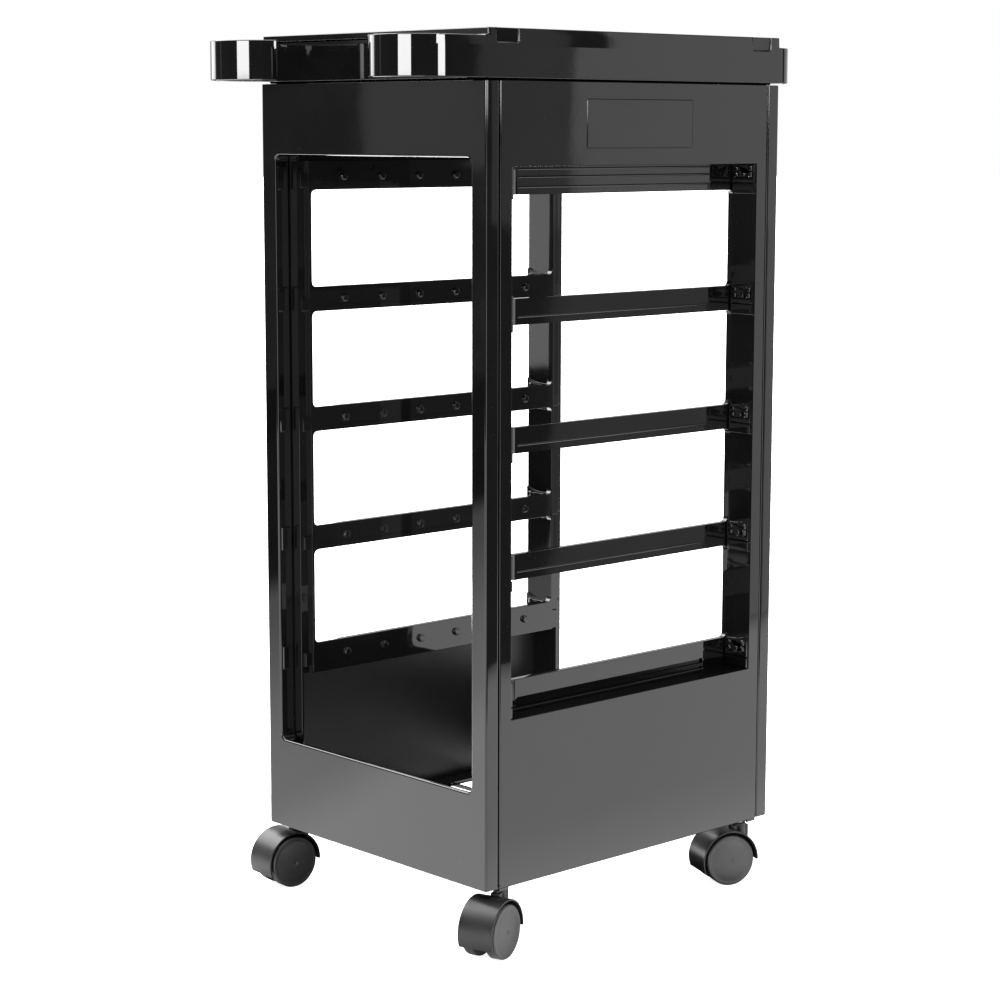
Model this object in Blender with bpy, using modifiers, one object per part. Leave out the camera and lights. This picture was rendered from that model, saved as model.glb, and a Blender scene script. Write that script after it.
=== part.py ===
"""Rolling salon trolley: moulded side ladders, open end frames, a top tray and four twin-wheel castors.

Units are metres, +Z is up, and the origin is on the floor under the middle of the whole trolley.
The open front, where the dryer hooks stand out, faces -Y. The right side panel faces +X.
Shapes are given from the middle of the cabinet, which stands a little behind that origin.
"""

from math import atan2, cos, degrees, pi, radians, sin, sqrt

import bmesh
import bpy
from mathutils import Matrix, Vector

# ---- cabinet ----
BODY_W = 0.325          # across the drawers, X
BODY_D = 0.391          # front to back, Y
BODY_BOTTOM = 0.065
BODY_TOP = 0.805
SKIN = 0.0025           # moulded wall thickness
GAP = 0.0003            # clearance between neighbouring pieces
CORNER_R = 0.003        # rounding of the upright corners

# ---- open end frames ----
FRAME_DEPTH = 0.016
OPENING_HALF_W = 0.142
OPENING_BOTTOM = 0.155
OPENING_TOP = 0.737
OPENING_R = 0.006
LIP_DEPTH = 0.0045      # depth of the lip along the bottom of the opening
TAB_PROUD = 0.0012      # snap tabs on the reveal, one for each rail
TAB_W = 0.0125
TAB_H = 0.021

# ---- side ladders ----
PANEL_DEPTH = 0.0373    # skin to the inner face of the rails
RECESS_HALF_D = 0.164
RECESS_BOTTOM = 0.223
RECESS_TOP = 0.729
RAIL_RECESS = 0.0306    # skin to the outer face of the rails
RAIL_STEP = 0.119       # drawer pitch
RAIL_COUNT = 5
RAIL_H = 0.0245
RAIL_TOP_1 = 0.2514     # top of the lowest rail
WINDOW_R = 0.005
GLIDE_R = 0.0038        # round glides that carry the drawers
GLIDE_PITCH = 0.0495
GLIDES_PER_RAIL = 6
GLIDE_PROUD = 0.0032
COLUMN_SETBACK = 0.0045 # the columns' inner faces stand back from the rails'
COLUMN_STEP_Y = 0.1668  # where each rail ends and the column's inner face begins
APRON_PLATE = (0.0705, 0.745, 0.7896)   # half width, bottom and top of the raised blank plate
APRON_PLATE_PROUD = 0.0004

# ---- top tray ----
BAND_BOTTOM = 0.807
BAND_TOP = 0.8415
RIM_TOP = 0.851
TRAY_FOOT_BOTTOM = BODY_TOP + GAP
TRAY_FLOOR_TOP = 0.8100
TRAY_WALL = 0.003
FRONT_STEP_TOP = 0.8445  # the band is a little taller at the front, and the rim stands behind it
FRONT_STEP = 0.0025
HOOK_TOP = 0.8440
HOOK_R = 0.046          # dryer hooks: an open arc from the outer cheek round the front
HOOK_WALL = 0.0035
HOOK_Y = -0.233
HOOK_SWEEP = 160.0      # degrees from the cheek to the free end
REAR_LEDGE = 0.031
REAR_R = 0.030
NOTCH_NEAR = 0.156      # rim notches, measured from the middle
NOTCH_FAR = 0.1826
NOTCH_FLOOR = 0.838
NOTCH_DEPTH = 0.0018

# ---- base ----
BASE_BOTTOM = 0.066
BASE_TOP = 0.070
BASE_BORDER = 0.022
BASE_END_BORDER = 0.042 # wider at the front and back, where the castors stand
BASE_RIB = 0.0024
BASE_ROWS = 5
BASE_COLUMNS = 3
BLOCK_TOP = 0.105

# ---- castors ----
PIVOT_X = 0.151
PIVOT_Y = 0.167
TRAIL = 0.0175
WHEEL_R = 0.026
WHEEL_INNER = 0.0042    # inner and outer faces of a wheel, from the castor's middle
WHEEL_OUTER = 0.0172
HOOD_R = 0.030
HOOD_WALL = 0.002
HOOD_HALF_W = 0.0165
WEB_HALF = 0.0039
AXLE_R = 0.0030
NECK_R = 0.0065
NECK_TOP = 0.0605
STEM_R = 0.0040
STEM_SHOULDER = 0.0540
STEM_TOP = 0.1010
PIN_R = 0.0022
PIN_BOTTOM = 0.0360
SOCKET_R = 0.0070
SOCKET_FLANGE_R = 0.0088
SOCKET_FLANGE_H = 0.0028
CASTOR_HEADINGS = {     # degrees that each castor's wheels trail towards, from +X
    "front_right": -72.0,
    "front_left": -94.0,
    "back_right": -112.0,
    "back_left": -108.0,
}

# ---- screws ----
SCREW_R = 0.0016
SCREW_HEAD_R = 0.0035
SCREW_HEAD_H = 0.0020
SCREW_HOLE_R = SCREW_R + GAP
TRAY_SCREW_X = 0.150
TRAY_SCREW_Y = 0.120
TRAY_SCREW_SINK = 0.0024    # depth of the seats that take the tray screws' heads
LUG_H = 0.008
BASE_SCREW_SIDE = (0.1535, 0.100)
BASE_SCREW_END = (0.090, 0.187)

HALF_W = BODY_W / 2
HALF_D = BODY_D / 2
FRAME_BACK = HALF_D - FRAME_DEPTH
PANEL_HALF_D = FRAME_BACK - GAP
PANEL_IN = HALF_W - PANEL_DEPTH
RAIL_OUT = HALF_W - RAIL_RECESS
ROUND = 32
CABINET_Y = (HOOK_R - HOOK_Y - HALF_D - REAR_LEDGE) / 2

GLOSS_BLACK = (0.012, 0.012, 0.013, 1.0)
SATIN_BLACK = (0.030, 0.030, 0.031, 1.0)
STEEL = (0.55, 0.55, 0.56, 1.0)


# ---------------------------------------------------------------- helpers

def clear_scene():
    for obj in list(bpy.data.objects):
        bpy.data.objects.remove(obj, do_unlink=True)


def new_collection(name):
    collection = bpy.data.collections.new(name)
    bpy.context.scene.collection.children.link(collection)
    return collection


def make_material(name, colour, roughness, metallic):
    material = bpy.data.materials.new(name)
    material.use_nodes = True
    shader = material.node_tree.nodes["Principled BSDF"]
    shader.inputs["Base Color"].default_value = colour
    shader.inputs["Roughness"].default_value = roughness
    shader.inputs["Metallic"].default_value = metallic
    return material


def gloss(name):
    return make_material(name + "_gloss", GLOSS_BLACK, 0.12, 0.0)


def satin(name):
    return make_material(name + "_satin", SATIN_BLACK, 0.38, 0.0)


def steel(name):
    return make_material(name + "_steel", STEEL, 0.25, 1.0)


def to_object(bm, name, collection, material=None):
    mesh = bpy.data.meshes.new(name)
    bm.to_mesh(mesh)
    bm.free()
    if material is not None:
        mesh.materials.append(material)
    obj = bpy.data.objects.new(name, mesh)
    obj.parent = CABINET
    collection.objects.link(obj)
    return obj


def add_box(bm, low, high):
    """Adds a box between two corners and returns its vertices."""
    low = Vector(low)
    high = Vector(high)
    size = high - low
    place = Matrix.Translation((low + high) / 2) @ Matrix.Diagonal((*size, 1.0))
    return bmesh.ops.create_cube(bm, size=1.0, matrix=place)["verts"]


def add_rod(bm, centre, axis, radius, start, end, sides=ROUND):
    """Adds a cylinder along X, Y or Z, from start to end along that axis."""
    turn = {
        "X": Matrix.Rotation(pi / 2, 4, "Y"),
        "Y": Matrix.Rotation(-pi / 2, 4, "X"),
        "Z": Matrix.Identity(4),
    }[axis]
    direction = {"X": Vector((1, 0, 0)), "Y": Vector((0, 1, 0)), "Z": Vector((0, 0, 1))}[axis]
    middle = Vector(centre) + direction * (start + end) / 2
    place = Matrix.Translation(middle) @ turn
    made = bmesh.ops.create_cone(
        bm, cap_ends=True, segments=sides, radius1=radius, radius2=radius,
        depth=abs(end - start), matrix=place,
    )
    return made["verts"]


def round_edges(bm, verts, axis, width, segments):
    """Bevels those edges of a box that run along one axis."""
    index = "XYZ".index(axis)
    edges = []
    for edge in {e for v in verts for e in v.link_edges}:
        step = edge.verts[1].co - edge.verts[0].co
        if abs(step[index]) > 0.999 * step.length:
            edges.append(edge)
    bmesh.ops.bevel(
        bm, geom=edges, offset=width, segments=segments, profile=0.5, affect="EDGES",
    )


def helper_object(bm, name):
    """A cutter or an addition, kept out of the model itself."""
    bmesh.ops.recalc_face_normals(bm, faces=bm.faces)
    obj = to_object(bm, name, CUTTERS)
    obj.hide_render = True
    obj.display_type = "WIRE"
    return obj


def boolean(target, bm, name, operation):
    """Cuts or joins a helper whose shape is given in the target's own frame."""
    helper = helper_object(bm, name)
    helper.parent = target.parent
    helper.location = target.location
    modifier = target.modifiers.new(name, "BOOLEAN")
    modifier.operation = operation
    modifier.solver = "EXACT"
    modifier.object = helper


def cut(target, bm, name):
    boolean(target, bm, name, "DIFFERENCE")


def add(target, bm, name):
    boolean(target, bm, name, "UNION")


def shade_round(obj, angle=35.0):
    obj.data.shade_smooth()
    obj.data.set_sharp_from_angle(angle=radians(angle))


def mirror_pairs():
    return [(sx, sy) for sx in (-1, 1) for sy in (-1, 1)]


def rail_spans():
    """Bottom and top of each rail, lowest first. The end rails close the recess."""
    spans = []
    for index in range(RAIL_COUNT):
        top = RAIL_TOP_1 + index * RAIL_STEP
        spans.append([top - RAIL_H, top])
    spans[0][0] = RECESS_BOTTOM
    spans[-1][1] = RECESS_TOP
    return spans


# ---------------------------------------------------------------- end frames

def make_end_frame(name, side):
    """A moulded frame round a tall opening. side is -1 at the front and 1 at the back."""
    outer = side * HALF_D
    inner = side * FRAME_BACK
    skin_in = side * (HALF_D - SKIN)
    past = side * (FRAME_BACK - 0.004)
    beyond = side * (HALF_D + 0.004)

    bm = bmesh.new()
    verts = add_box(bm, (-HALF_W, min(outer, inner), BODY_BOTTOM),
                    (HALF_W, max(outer, inner), BODY_TOP))
    edges = [e for e in {e for v in verts for e in v.link_edges}
             if abs(e.verts[0].co.y - outer) < 1e-6 and abs(e.verts[1].co.y - outer) < 1e-6
             and abs(e.verts[0].co.x - e.verts[1].co.x) < 1e-6]
    bmesh.ops.bevel(bm, geom=edges, offset=CORNER_R, segments=4, profile=0.5, affect="EDGES")
    frame = to_object(bm, name, PARTS, gloss(name))

    hollow = bmesh.new()
    collar = OPENING_HALF_W + SKIN
    wall = HALF_W - SKIN
    y_low, y_high = min(skin_in, past), max(skin_in, past)
    top_in = BODY_TOP - SKIN
    add_box(hollow, (-wall, y_low, OPENING_TOP + SKIN), (wall, y_high, top_in))
    add_box(hollow, (-wall, y_low, BODY_BOTTOM - 0.004), (wall, y_high, OPENING_BOTTOM - SKIN))
    cut(frame, hollow, name + "_cavity")
    sides = bmesh.new()
    for sx in (-1, 1):
        x_low, x_high = sorted((sx * collar, sx * wall))
        add_box(sides, (x_low, y_low, OPENING_BOTTOM - 0.006), (x_high, y_high, OPENING_TOP + 0.006))
    cut(frame, sides, name + "_column_cavity")

    hole = bmesh.new()
    verts = add_box(hole, (-OPENING_HALF_W, min(past, beyond), OPENING_BOTTOM),
                    (OPENING_HALF_W, max(past, beyond), OPENING_TOP))
    round_edges(hole, verts, "Y", OPENING_R, 5)
    cut(frame, hole, name + "_opening")
    behind_lip = bmesh.new()
    lip_y = sorted((side * (HALF_D - LIP_DEPTH), past))
    add_box(behind_lip, (-OPENING_HALF_W + OPENING_R, lip_y[0], OPENING_BOTTOM - 0.006),
            (OPENING_HALF_W - OPENING_R, lip_y[1], OPENING_BOTTOM + 0.002))
    cut(frame, behind_lip, name + "_behind_lip")

    extras = bmesh.new()
    tab_y = sorted((side * (FRAME_BACK + 0.0015), side * (FRAME_BACK + 0.0015 + TAB_W)))
    for sx in (-1, 1):
        tab_x = sorted((sx * (OPENING_HALF_W - TAB_PROUD), sx * (OPENING_HALF_W + SKIN / 2)))
        for low, high in rail_spans():
            middle = min((low + high) / 2, OPENING_TOP - 0.022)
            add_box(extras, (tab_x[0], tab_y[0], middle - TAB_H / 2),
                    (tab_x[1], tab_y[1], middle + TAB_H / 2))
        lug_x = sx * BASE_SCREW_END[0]
        lug_y = sorted((side * (HALF_D - SKIN / 2), side * (FRAME_BACK + 0.0015)))
        add_box(extras, (lug_x - 0.007, lug_y[0], BASE_TOP + GAP),
                (lug_x + 0.007, lug_y[1], BASE_TOP + GAP + LUG_H))
    add(frame, extras, name + "_tabs")

    pilots = bmesh.new()
    for sx in (-1, 1):
        add_rod(pilots, (sx * BASE_SCREW_END[0], side * BASE_SCREW_END[1], 0), "Z",
                SCREW_HOLE_R, BASE_TOP - 0.002, BASE_TOP + GAP + LUG_H + 0.002, 12)
    cut(frame, pilots, name + "_pilots")
    return frame


# ---------------------------------------------------------------- side ladders

def make_side_panel(name, sx):
    """A ladder of five rails between two hollow columns, with an apron and a lower panel."""

    def box(bm, x_pair, y_pair, z_pair):
        x_low, x_high = sorted((sx * x_pair[0], sx * x_pair[1]))
        return add_box(bm, (x_low, y_pair[0], z_pair[0]), (x_high, y_pair[1], z_pair[1]))

    inner_y = PANEL_HALF_D - SKIN
    bm = bmesh.new()
    box(bm, (PANEL_IN, HALF_W), (-PANEL_HALF_D, PANEL_HALF_D), (BODY_BOTTOM, BODY_TOP))
    panel = to_object(bm, name, PARTS, gloss(name))

    hollow = bmesh.new()
    box(hollow, (PANEL_IN - 0.004, HALF_W - SKIN), (-inner_y, inner_y),
        (BASE_TOP - 0.002, RECESS_BOTTOM - SKIN))
    box(hollow, (PANEL_IN - 0.004, HALF_W - SKIN), (-inner_y, inner_y),
        (RECESS_TOP + SKIN, BODY_TOP - SKIN))
    cut(panel, hollow, name + "_cavity")
    foot = bmesh.new()
    box(foot, (PANEL_IN - 0.005, HALF_W - SKIN), (-HALF_D, HALF_D),
        (BODY_BOTTOM - 0.004, BASE_TOP + GAP))
    cut(panel, foot, name + "_foot")
    columns = bmesh.new()
    for sy in (-1, 1):
        y_pair = sorted((sy * (RECESS_HALF_D + SKIN), sy * inner_y))
        box(columns, (PANEL_IN + COLUMN_SETBACK + SKIN, HALF_W - SKIN), y_pair,
            (RECESS_BOTTOM - 0.006, RECESS_TOP + 0.006))
    cut(panel, columns, name + "_column_cavity")
    setbacks = bmesh.new()
    for sy in (-1, 1):
        y_pair = sorted((sy * COLUMN_STEP_Y, sy * (PANEL_HALF_D + 0.004)))
        box(setbacks, (PANEL_IN - 0.004, PANEL_IN + COLUMN_SETBACK), y_pair,
            (BODY_BOTTOM - 0.004, BODY_TOP + 0.004))
    cut(panel, setbacks, name + "_column_setback")

    recess = bmesh.new()
    box(recess, (RAIL_OUT, HALF_W + 0.004), (-RECESS_HALF_D, RECESS_HALF_D),
        (RECESS_BOTTOM, RECESS_TOP))
    cut(panel, recess, name + "_recess")

    spans = rail_spans()
    windows = bmesh.new()
    for below, above in zip(spans, spans[1:]):
        pane = bmesh.new()
        verts = box(pane, (PANEL_IN - 0.004, RAIL_OUT + 0.004), (-RECESS_HALF_D, RECESS_HALF_D),
                    (below[1], above[0]))
        round_edges(pane, verts, "X", WINDOW_R, 4)
        scratch = bpy.data.meshes.new("pane")
        pane.to_mesh(scratch)
        pane.free()
        windows.from_mesh(scratch)
        bpy.data.meshes.remove(scratch)
    cut(panel, windows, name + "_windows")

    glides = bmesh.new()
    first = -GLIDE_PITCH * (GLIDES_PER_RAIL - 1) / 2
    start = sx * (PANEL_IN + RAIL_OUT) / 2
    end = sx * (PANEL_IN - GLIDE_PROUD)
    for low, high in spans:
        for index in range(GLIDES_PER_RAIL):
            place = (0, first + index * GLIDE_PITCH, (low + high) / 2)
            add_rod(glides, place, "X", GLIDE_R, start, end, 8)
    add(panel, glides, name + "_glides")

    lugs = bmesh.new()
    for sy in (-1, 1):
        y_mid = sy * BASE_SCREW_SIDE[1]
        box(lugs, (HALF_W - SKIN / 2, HALF_W - 0.016), (y_mid - 0.007, y_mid + 0.007),
            (BASE_TOP + GAP, BASE_TOP + GAP + LUG_H))
    add(panel, lugs, name + "_lugs")
    plate = bmesh.new()
    half, low, high = APRON_PLATE
    box(plate, (HALF_W - SKIN / 2, HALF_W + APRON_PLATE_PROUD), (-half, half), (low, high))
    add(panel, plate, name + "_plate")

    pilots = bmesh.new()
    for sy in (-1, 1):
        add_rod(pilots, (sx * BASE_SCREW_SIDE[0], sy * BASE_SCREW_SIDE[1], 0), "Z",
                SCREW_HOLE_R, BASE_TOP - 0.002, BASE_TOP + GAP + LUG_H + 0.002, 12)
        add_rod(pilots, (sx * TRAY_SCREW_X, sy * TRAY_SCREW_Y, 0), "Z",
                SCREW_HOLE_R, BODY_TOP - 0.006, BODY_TOP + 0.004, 12)
    cut(panel, pilots, name + "_pilots")
    return panel


# ---------------------------------------------------------------- top tray

def arc_points(centre, radius, start, end, count):
    """Points on an arc round a centre, angles in degrees."""
    points = []
    for index in range(count + 1):
        angle = radians(start + (end - start) * index / count)
        points.append((centre[0] + radius * cos(angle), centre[1] + radius * sin(angle)))
    return points


def hook_outline(sx):
    """A dryer hook from above: the outer arc, the round free end, the inner arc and the root."""
    inner_r = HOOK_R - HOOK_WALL
    rise = -HALF_D - HOOK_Y
    meets_band = degrees(atan2(rise, sqrt(inner_r * inner_r - rise * rise)))
    tip = radians(-HOOK_SWEEP)
    middle_r = HOOK_R - HOOK_WALL / 2
    tip_centre = (middle_r * cos(tip), middle_r * sin(tip))
    points = arc_points((0.0, 0.0), HOOK_R, 0.0, -HOOK_SWEEP, 32)
    points += arc_points(tip_centre, HOOK_WALL / 2, -HOOK_SWEEP - 36.0, -HOOK_SWEEP - 144.0, 3)
    points += arc_points((0.0, 0.0), inner_r, -HOOK_SWEEP, meets_band, 30)
    points.append((points[-1][0], rise + FRONT_STEP))
    points.append((HOOK_R, rise + FRONT_STEP))
    centre_x = HALF_W - HOOK_R
    return [(sx * (centre_x + x), HOOK_Y + y) for x, y in points]


def add_prism(bm, outline, bottom, top):
    """Extrudes a closed outline of XY points between two heights."""
    lower = [bm.verts.new((p[0], p[1], bottom)) for p in outline]
    face = bm.faces.new(lower)
    made = bmesh.ops.extrude_face_region(bm, geom=[face])
    lifted = [v for v in made["geom"] if isinstance(v, bmesh.types.BMVert)]
    bmesh.ops.translate(bm, vec=(0, 0, top - bottom), verts=lifted)
    bmesh.ops.recalc_face_normals(bm, faces=bm.faces)


def rear_outline(inset):
    """The band behind the rim, with its two round corners."""
    radius = REAR_R - inset
    x_mid = HALF_W - REAR_R
    y_mid = HALF_D + REAR_LEDGE - REAR_R
    points = []
    for sx, first in ((1, 0.0), (-1, pi / 2)):
        for index in range(9):
            angle = first + (pi / 2) * index / 8
            points.append((sx * x_mid + radius * cos(angle), y_mid + radius * sin(angle)))
    return points


def make_top_tray(name):
    """One moulding: a deep tray with a notched rim, a skirt band, two hooks and a rear ledge."""
    front = -HALF_D
    outline = [(HALF_W, front)] + rear_outline(0.0) + [(-HALF_W, front)]
    bm = bmesh.new()
    add_prism(bm, outline, BAND_BOTTOM, BAND_TOP)
    tray = to_object(bm, name, PARTS, gloss(name))

    rim = bmesh.new()
    add_box(rim, (-HALF_W, front + FRONT_STEP, BAND_TOP - 0.010), (HALF_W, HALF_D, RIM_TOP))
    add(tray, rim, name + "_rim")
    step = bmesh.new()
    add_box(step, (-HALF_W, front, BAND_TOP - 0.012),
            (HALF_W, front + FRONT_STEP + 0.001, FRONT_STEP_TOP))
    add(tray, step, name + "_front_step")

    foot = bmesh.new()
    inset = 0.006
    add_box(foot, (-HALF_W + inset, front + inset, TRAY_FOOT_BOTTOM),
            (HALF_W - inset, HALF_D - inset, BAND_BOTTOM + 0.001))
    add(tray, foot, name + "_foot")

    for sx in (-1, 1):
        side = "right" if sx > 0 else "left"
        hook = bmesh.new()
        add_prism(hook, hook_outline(sx), BAND_BOTTOM, HOOK_TOP)
        add(tray, hook, name + "_hook_" + side)

    basin = bmesh.new()
    verts = add_box(basin, (-HALF_W + TRAY_WALL, front + FRONT_STEP + TRAY_WALL, TRAY_FLOOR_TOP),
                    (HALF_W - TRAY_WALL, HALF_D - TRAY_WALL, RIM_TOP + 0.005))
    round_edges(basin, verts, "Z", 0.006, 3)
    cut(tray, basin, name + "_basin")

    under = bmesh.new()
    ledge = [(HALF_W - TRAY_WALL, HALF_D + TRAY_WALL)]
    ledge += [p for p in rear_outline(TRAY_WALL) if p[1] > HALF_D + TRAY_WALL]
    ledge += [(-HALF_W + TRAY_WALL, HALF_D + TRAY_WALL)]
    add_prism(under, ledge, BAND_BOTTOM - 0.004, BAND_TOP - TRAY_WALL)
    cut(tray, under, name + "_ledge_hollow")

    notches = bmesh.new()
    for sx, sy in mirror_pairs():
        x_pair = sorted((sx * (HALF_W - NOTCH_DEPTH), sx * (HALF_W + 0.003)))
        y_pair = sorted((sy * NOTCH_NEAR, sy * NOTCH_FAR))
        add_box(notches, (x_pair[0], y_pair[0], NOTCH_FLOOR), (x_pair[1], y_pair[1], RIM_TOP + 0.004))
    cut(tray, notches, name + "_notches")

    holes = bmesh.new()
    for sx, sy in mirror_pairs():
        add_rod(holes, (sx * TRAY_SCREW_X, sy * TRAY_SCREW_Y, 0), "Z", SCREW_HOLE_R,
                TRAY_FOOT_BOTTOM - 0.003, TRAY_FLOOR_TOP + 0.003, 12)
    cut(tray, holes, name + "_screw_holes")
    seats = bmesh.new()
    for sx, sy in mirror_pairs():
        add_rod(seats, (sx * TRAY_SCREW_X, sy * TRAY_SCREW_Y, 0), "Z", SCREW_HEAD_R + 0.0005,
                TRAY_FLOOR_TOP - TRAY_SCREW_SINK, TRAY_FLOOR_TOP + 0.004, 16)
    cut(tray, seats, name + "_screw_seats")
    return tray


# ---------------------------------------------------------------- base

def make_base(name):
    """The open floor grid, with a block for each castor socket."""
    half_x = HALF_W - SKIN - GAP
    half_y = HALF_D - SKIN - GAP
    bm = bmesh.new()
    add_box(bm, (-half_x, -half_y, BASE_BOTTOM), (half_x, half_y, BASE_TOP))
    base = to_object(bm, name, PARTS, gloss(name))

    openings = bmesh.new()
    grid_w = 2 * (half_x - BASE_BORDER)
    grid_d = 2 * (half_y - BASE_END_BORDER)
    for column in range(BASE_COLUMNS):
        x_low = -grid_w / 2 + column * grid_w / BASE_COLUMNS
        for row in range(BASE_ROWS):
            y_low = -grid_d / 2 + row * grid_d / BASE_ROWS
            add_box(openings, (x_low + BASE_RIB / 2, y_low + BASE_RIB / 2, BASE_BOTTOM - 0.004),
                    (x_low + grid_w / BASE_COLUMNS - BASE_RIB / 2,
                     y_low + grid_d / BASE_ROWS - BASE_RIB / 2, BASE_TOP + 0.004))
    cut(base, openings, name + "_openings")

    blocks = bmesh.new()
    for sx, sy in mirror_pairs():
        x_pair = sorted((sx * (PIVOT_X - 0.0095), sx * half_x))
        y_pair = sorted((sy * (PIVOT_Y - 0.0095), sy * (PANEL_HALF_D - SKIN - GAP)))
        add_box(blocks, (x_pair[0], y_pair[0], BASE_TOP - 0.002), (x_pair[1], y_pair[1], BLOCK_TOP))
    add(base, blocks, name + "_blocks")

    holes = bmesh.new()
    for sx, sy in mirror_pairs():
        add_rod(holes, (sx * PIVOT_X, sy * PIVOT_Y, 0), "Z", SOCKET_R + GAP,
                BASE_BOTTOM - 0.004, BLOCK_TOP + 0.004, 16)
        add_rod(holes, (sx * BASE_SCREW_SIDE[0], sy * BASE_SCREW_SIDE[1], 0), "Z", SCREW_HOLE_R,
                BASE_BOTTOM - 0.004, BASE_TOP + 0.004, 12)
        add_rod(holes, (sx * BASE_SCREW_END[0], sy * BASE_SCREW_END[1], 0), "Z", SCREW_HOLE_R,
                BASE_BOTTOM - 0.004, BASE_TOP + 0.004, 12)
    cut(base, holes, name + "_holes")
    return base


# ---------------------------------------------------------------- turned pieces

def turned(name, profile, material, steps, closed=True):
    """Turns a profile of (radius, height) points round Z. It runs down the outside first."""
    mesh = bpy.data.meshes.new(name)
    bm = bmesh.new()
    verts = [bm.verts.new((radius, 0.0, height)) for radius, height in profile]
    for first, second in zip(verts, verts[1:]):
        bm.edges.new((first, second))
    if closed:
        bm.edges.new((verts[-1], verts[0]))
    bm.to_mesh(mesh)
    bm.free()
    mesh.materials.append(material)
    obj = bpy.data.objects.new(name, mesh)
    obj.parent = CABINET
    PARTS.objects.link(obj)
    screw = obj.modifiers.new("turn", "SCREW")
    screw.axis = "Z"
    screw.angle = 2 * pi
    screw.steps = steps
    screw.render_steps = steps
    screw.use_merge_vertices = True
    screw.merge_threshold = 0.00005
    screw.use_smooth_shade = True
    return obj


def make_pin(name, radius, low, high, chamfer, material, place, axis="Z", sides=24):
    """A plain round pin with chamfered ends, built as a solid bar."""
    bm = bmesh.new()
    verts = add_rod(bm, (0, 0, 0), axis, radius, low, high, sides)
    index = "XYZ".index(axis)
    ends = [e for e in bm.edges
            if abs(e.verts[0].co[index] - e.verts[1].co[index]) < 1e-9]
    bmesh.ops.bevel(bm, geom=ends, offset=chamfer, segments=1, profile=0.5, affect="EDGES")
    obj = to_object(bm, name, PARTS, material)
    obj.location = place
    shade_round(obj)
    return obj


# ---------------------------------------------------------------- castors

def empty_at(name, place, turn=0.0, parent=None):
    obj = bpy.data.objects.new(name, None)
    obj.empty_display_size = 0.02
    obj.location = place
    obj.rotation_euler = (0, 0, turn)
    obj.parent = parent
    PARTS.objects.link(obj)
    return obj


def make_socket(name, place):
    """The sleeve pressed into the base block, with a flange below."""
    bore = STEM_R + GAP
    flange_low = BASE_BOTTOM - GAP - SOCKET_FLANGE_H
    flange_high = BASE_BOTTOM - GAP
    profile = [
        (SOCKET_R, BLOCK_TOP - 0.001), (SOCKET_R, flange_high), (SOCKET_FLANGE_R, flange_high),
        (SOCKET_FLANGE_R, flange_low), (bore, flange_low), (bore, BLOCK_TOP - 0.001),
    ]
    socket = turned(name, profile, satin(name), 16)
    socket.location = place
    return socket


def make_stem(name, parent):
    """The steel swivel pin: a thin tail in the hood's web and a stout shank in the socket."""
    profile = [
        (0.0, STEM_TOP), (STEM_R - 0.0008, STEM_TOP), (STEM_R, STEM_TOP - 0.0008),
        (STEM_R, STEM_SHOULDER), (PIN_R, STEM_SHOULDER), (PIN_R, PIN_BOTTOM), (0.0, PIN_BOTTOM),
    ]
    stem = turned(name, profile, steel(name), 16, closed=False)
    stem.parent = parent
    return stem


def make_hood(name, parent):
    """The shield over both wheels, with a middle web that holds the axle and a neck for the stem."""
    centre = (TRAIL, 0, WHEEL_R)
    bm = bmesh.new()
    add_rod(bm, centre, "Y", HOOD_R, -HOOD_HALF_W, HOOD_HALF_W, ROUND)
    hood = to_object(bm, name, PARTS, satin(name))
    hood.parent = parent

    neck = bmesh.new()
    add_rod(neck, (0, 0, 0), "Z", NECK_R, WHEEL_R + 0.0185, NECK_TOP, 16)
    add(hood, neck, name + "_neck")

    wells = bmesh.new()
    for sy in (-1, 1):
        pair = sorted((sy * WEB_HALF, sy * (HOOD_HALF_W + 0.004)))
        add_rod(wells, centre, "Y", HOOD_R - HOOD_WALL, pair[0], pair[1], ROUND)
    cut(hood, wells, name + "_wells")

    below = bmesh.new()
    add_box(below, (-0.060, -0.030, -0.060), (0.060, 0.030, 0.0))
    tilt = Matrix.Rotation(radians(10.0), 4, "Y")
    place = Matrix.Translation((TRAIL, 0, WHEEL_R - 0.0065))
    bmesh.ops.transform(below, matrix=place @ tilt, verts=below.verts)
    cut(hood, below, name + "_skirt_line")

    bores = bmesh.new()
    add_rod(bores, centre, "Y", AXLE_R + GAP, -0.01, 0.01, 12)
    cut(hood, bores, name + "_axle_bore")
    stem_bore = bmesh.new()
    add_rod(stem_bore, (0, 0, 0), "Z", STEM_R + GAP, STEM_SHOULDER - GAP, NECK_TOP + 0.004, 16)
    cut(hood, stem_bore, name + "_stem_bore")
    pin_bore = bmesh.new()
    add_rod(pin_bore, (0, 0, 0), "Z", PIN_R + GAP, PIN_BOTTOM - GAP, STEM_SHOULDER + 0.001, 12)
    cut(hood, pin_bore, name + "_pin_bore")
    return hood


def make_axle(name, parent):
    axle = make_pin(name, AXLE_R, -WHEEL_OUTER + 0.0035, WHEEL_OUTER - 0.0035, 0.0005,
                    steel(name), (TRAIL, 0, WHEEL_R), "Y", 12)
    axle.parent = parent
    return axle


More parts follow.
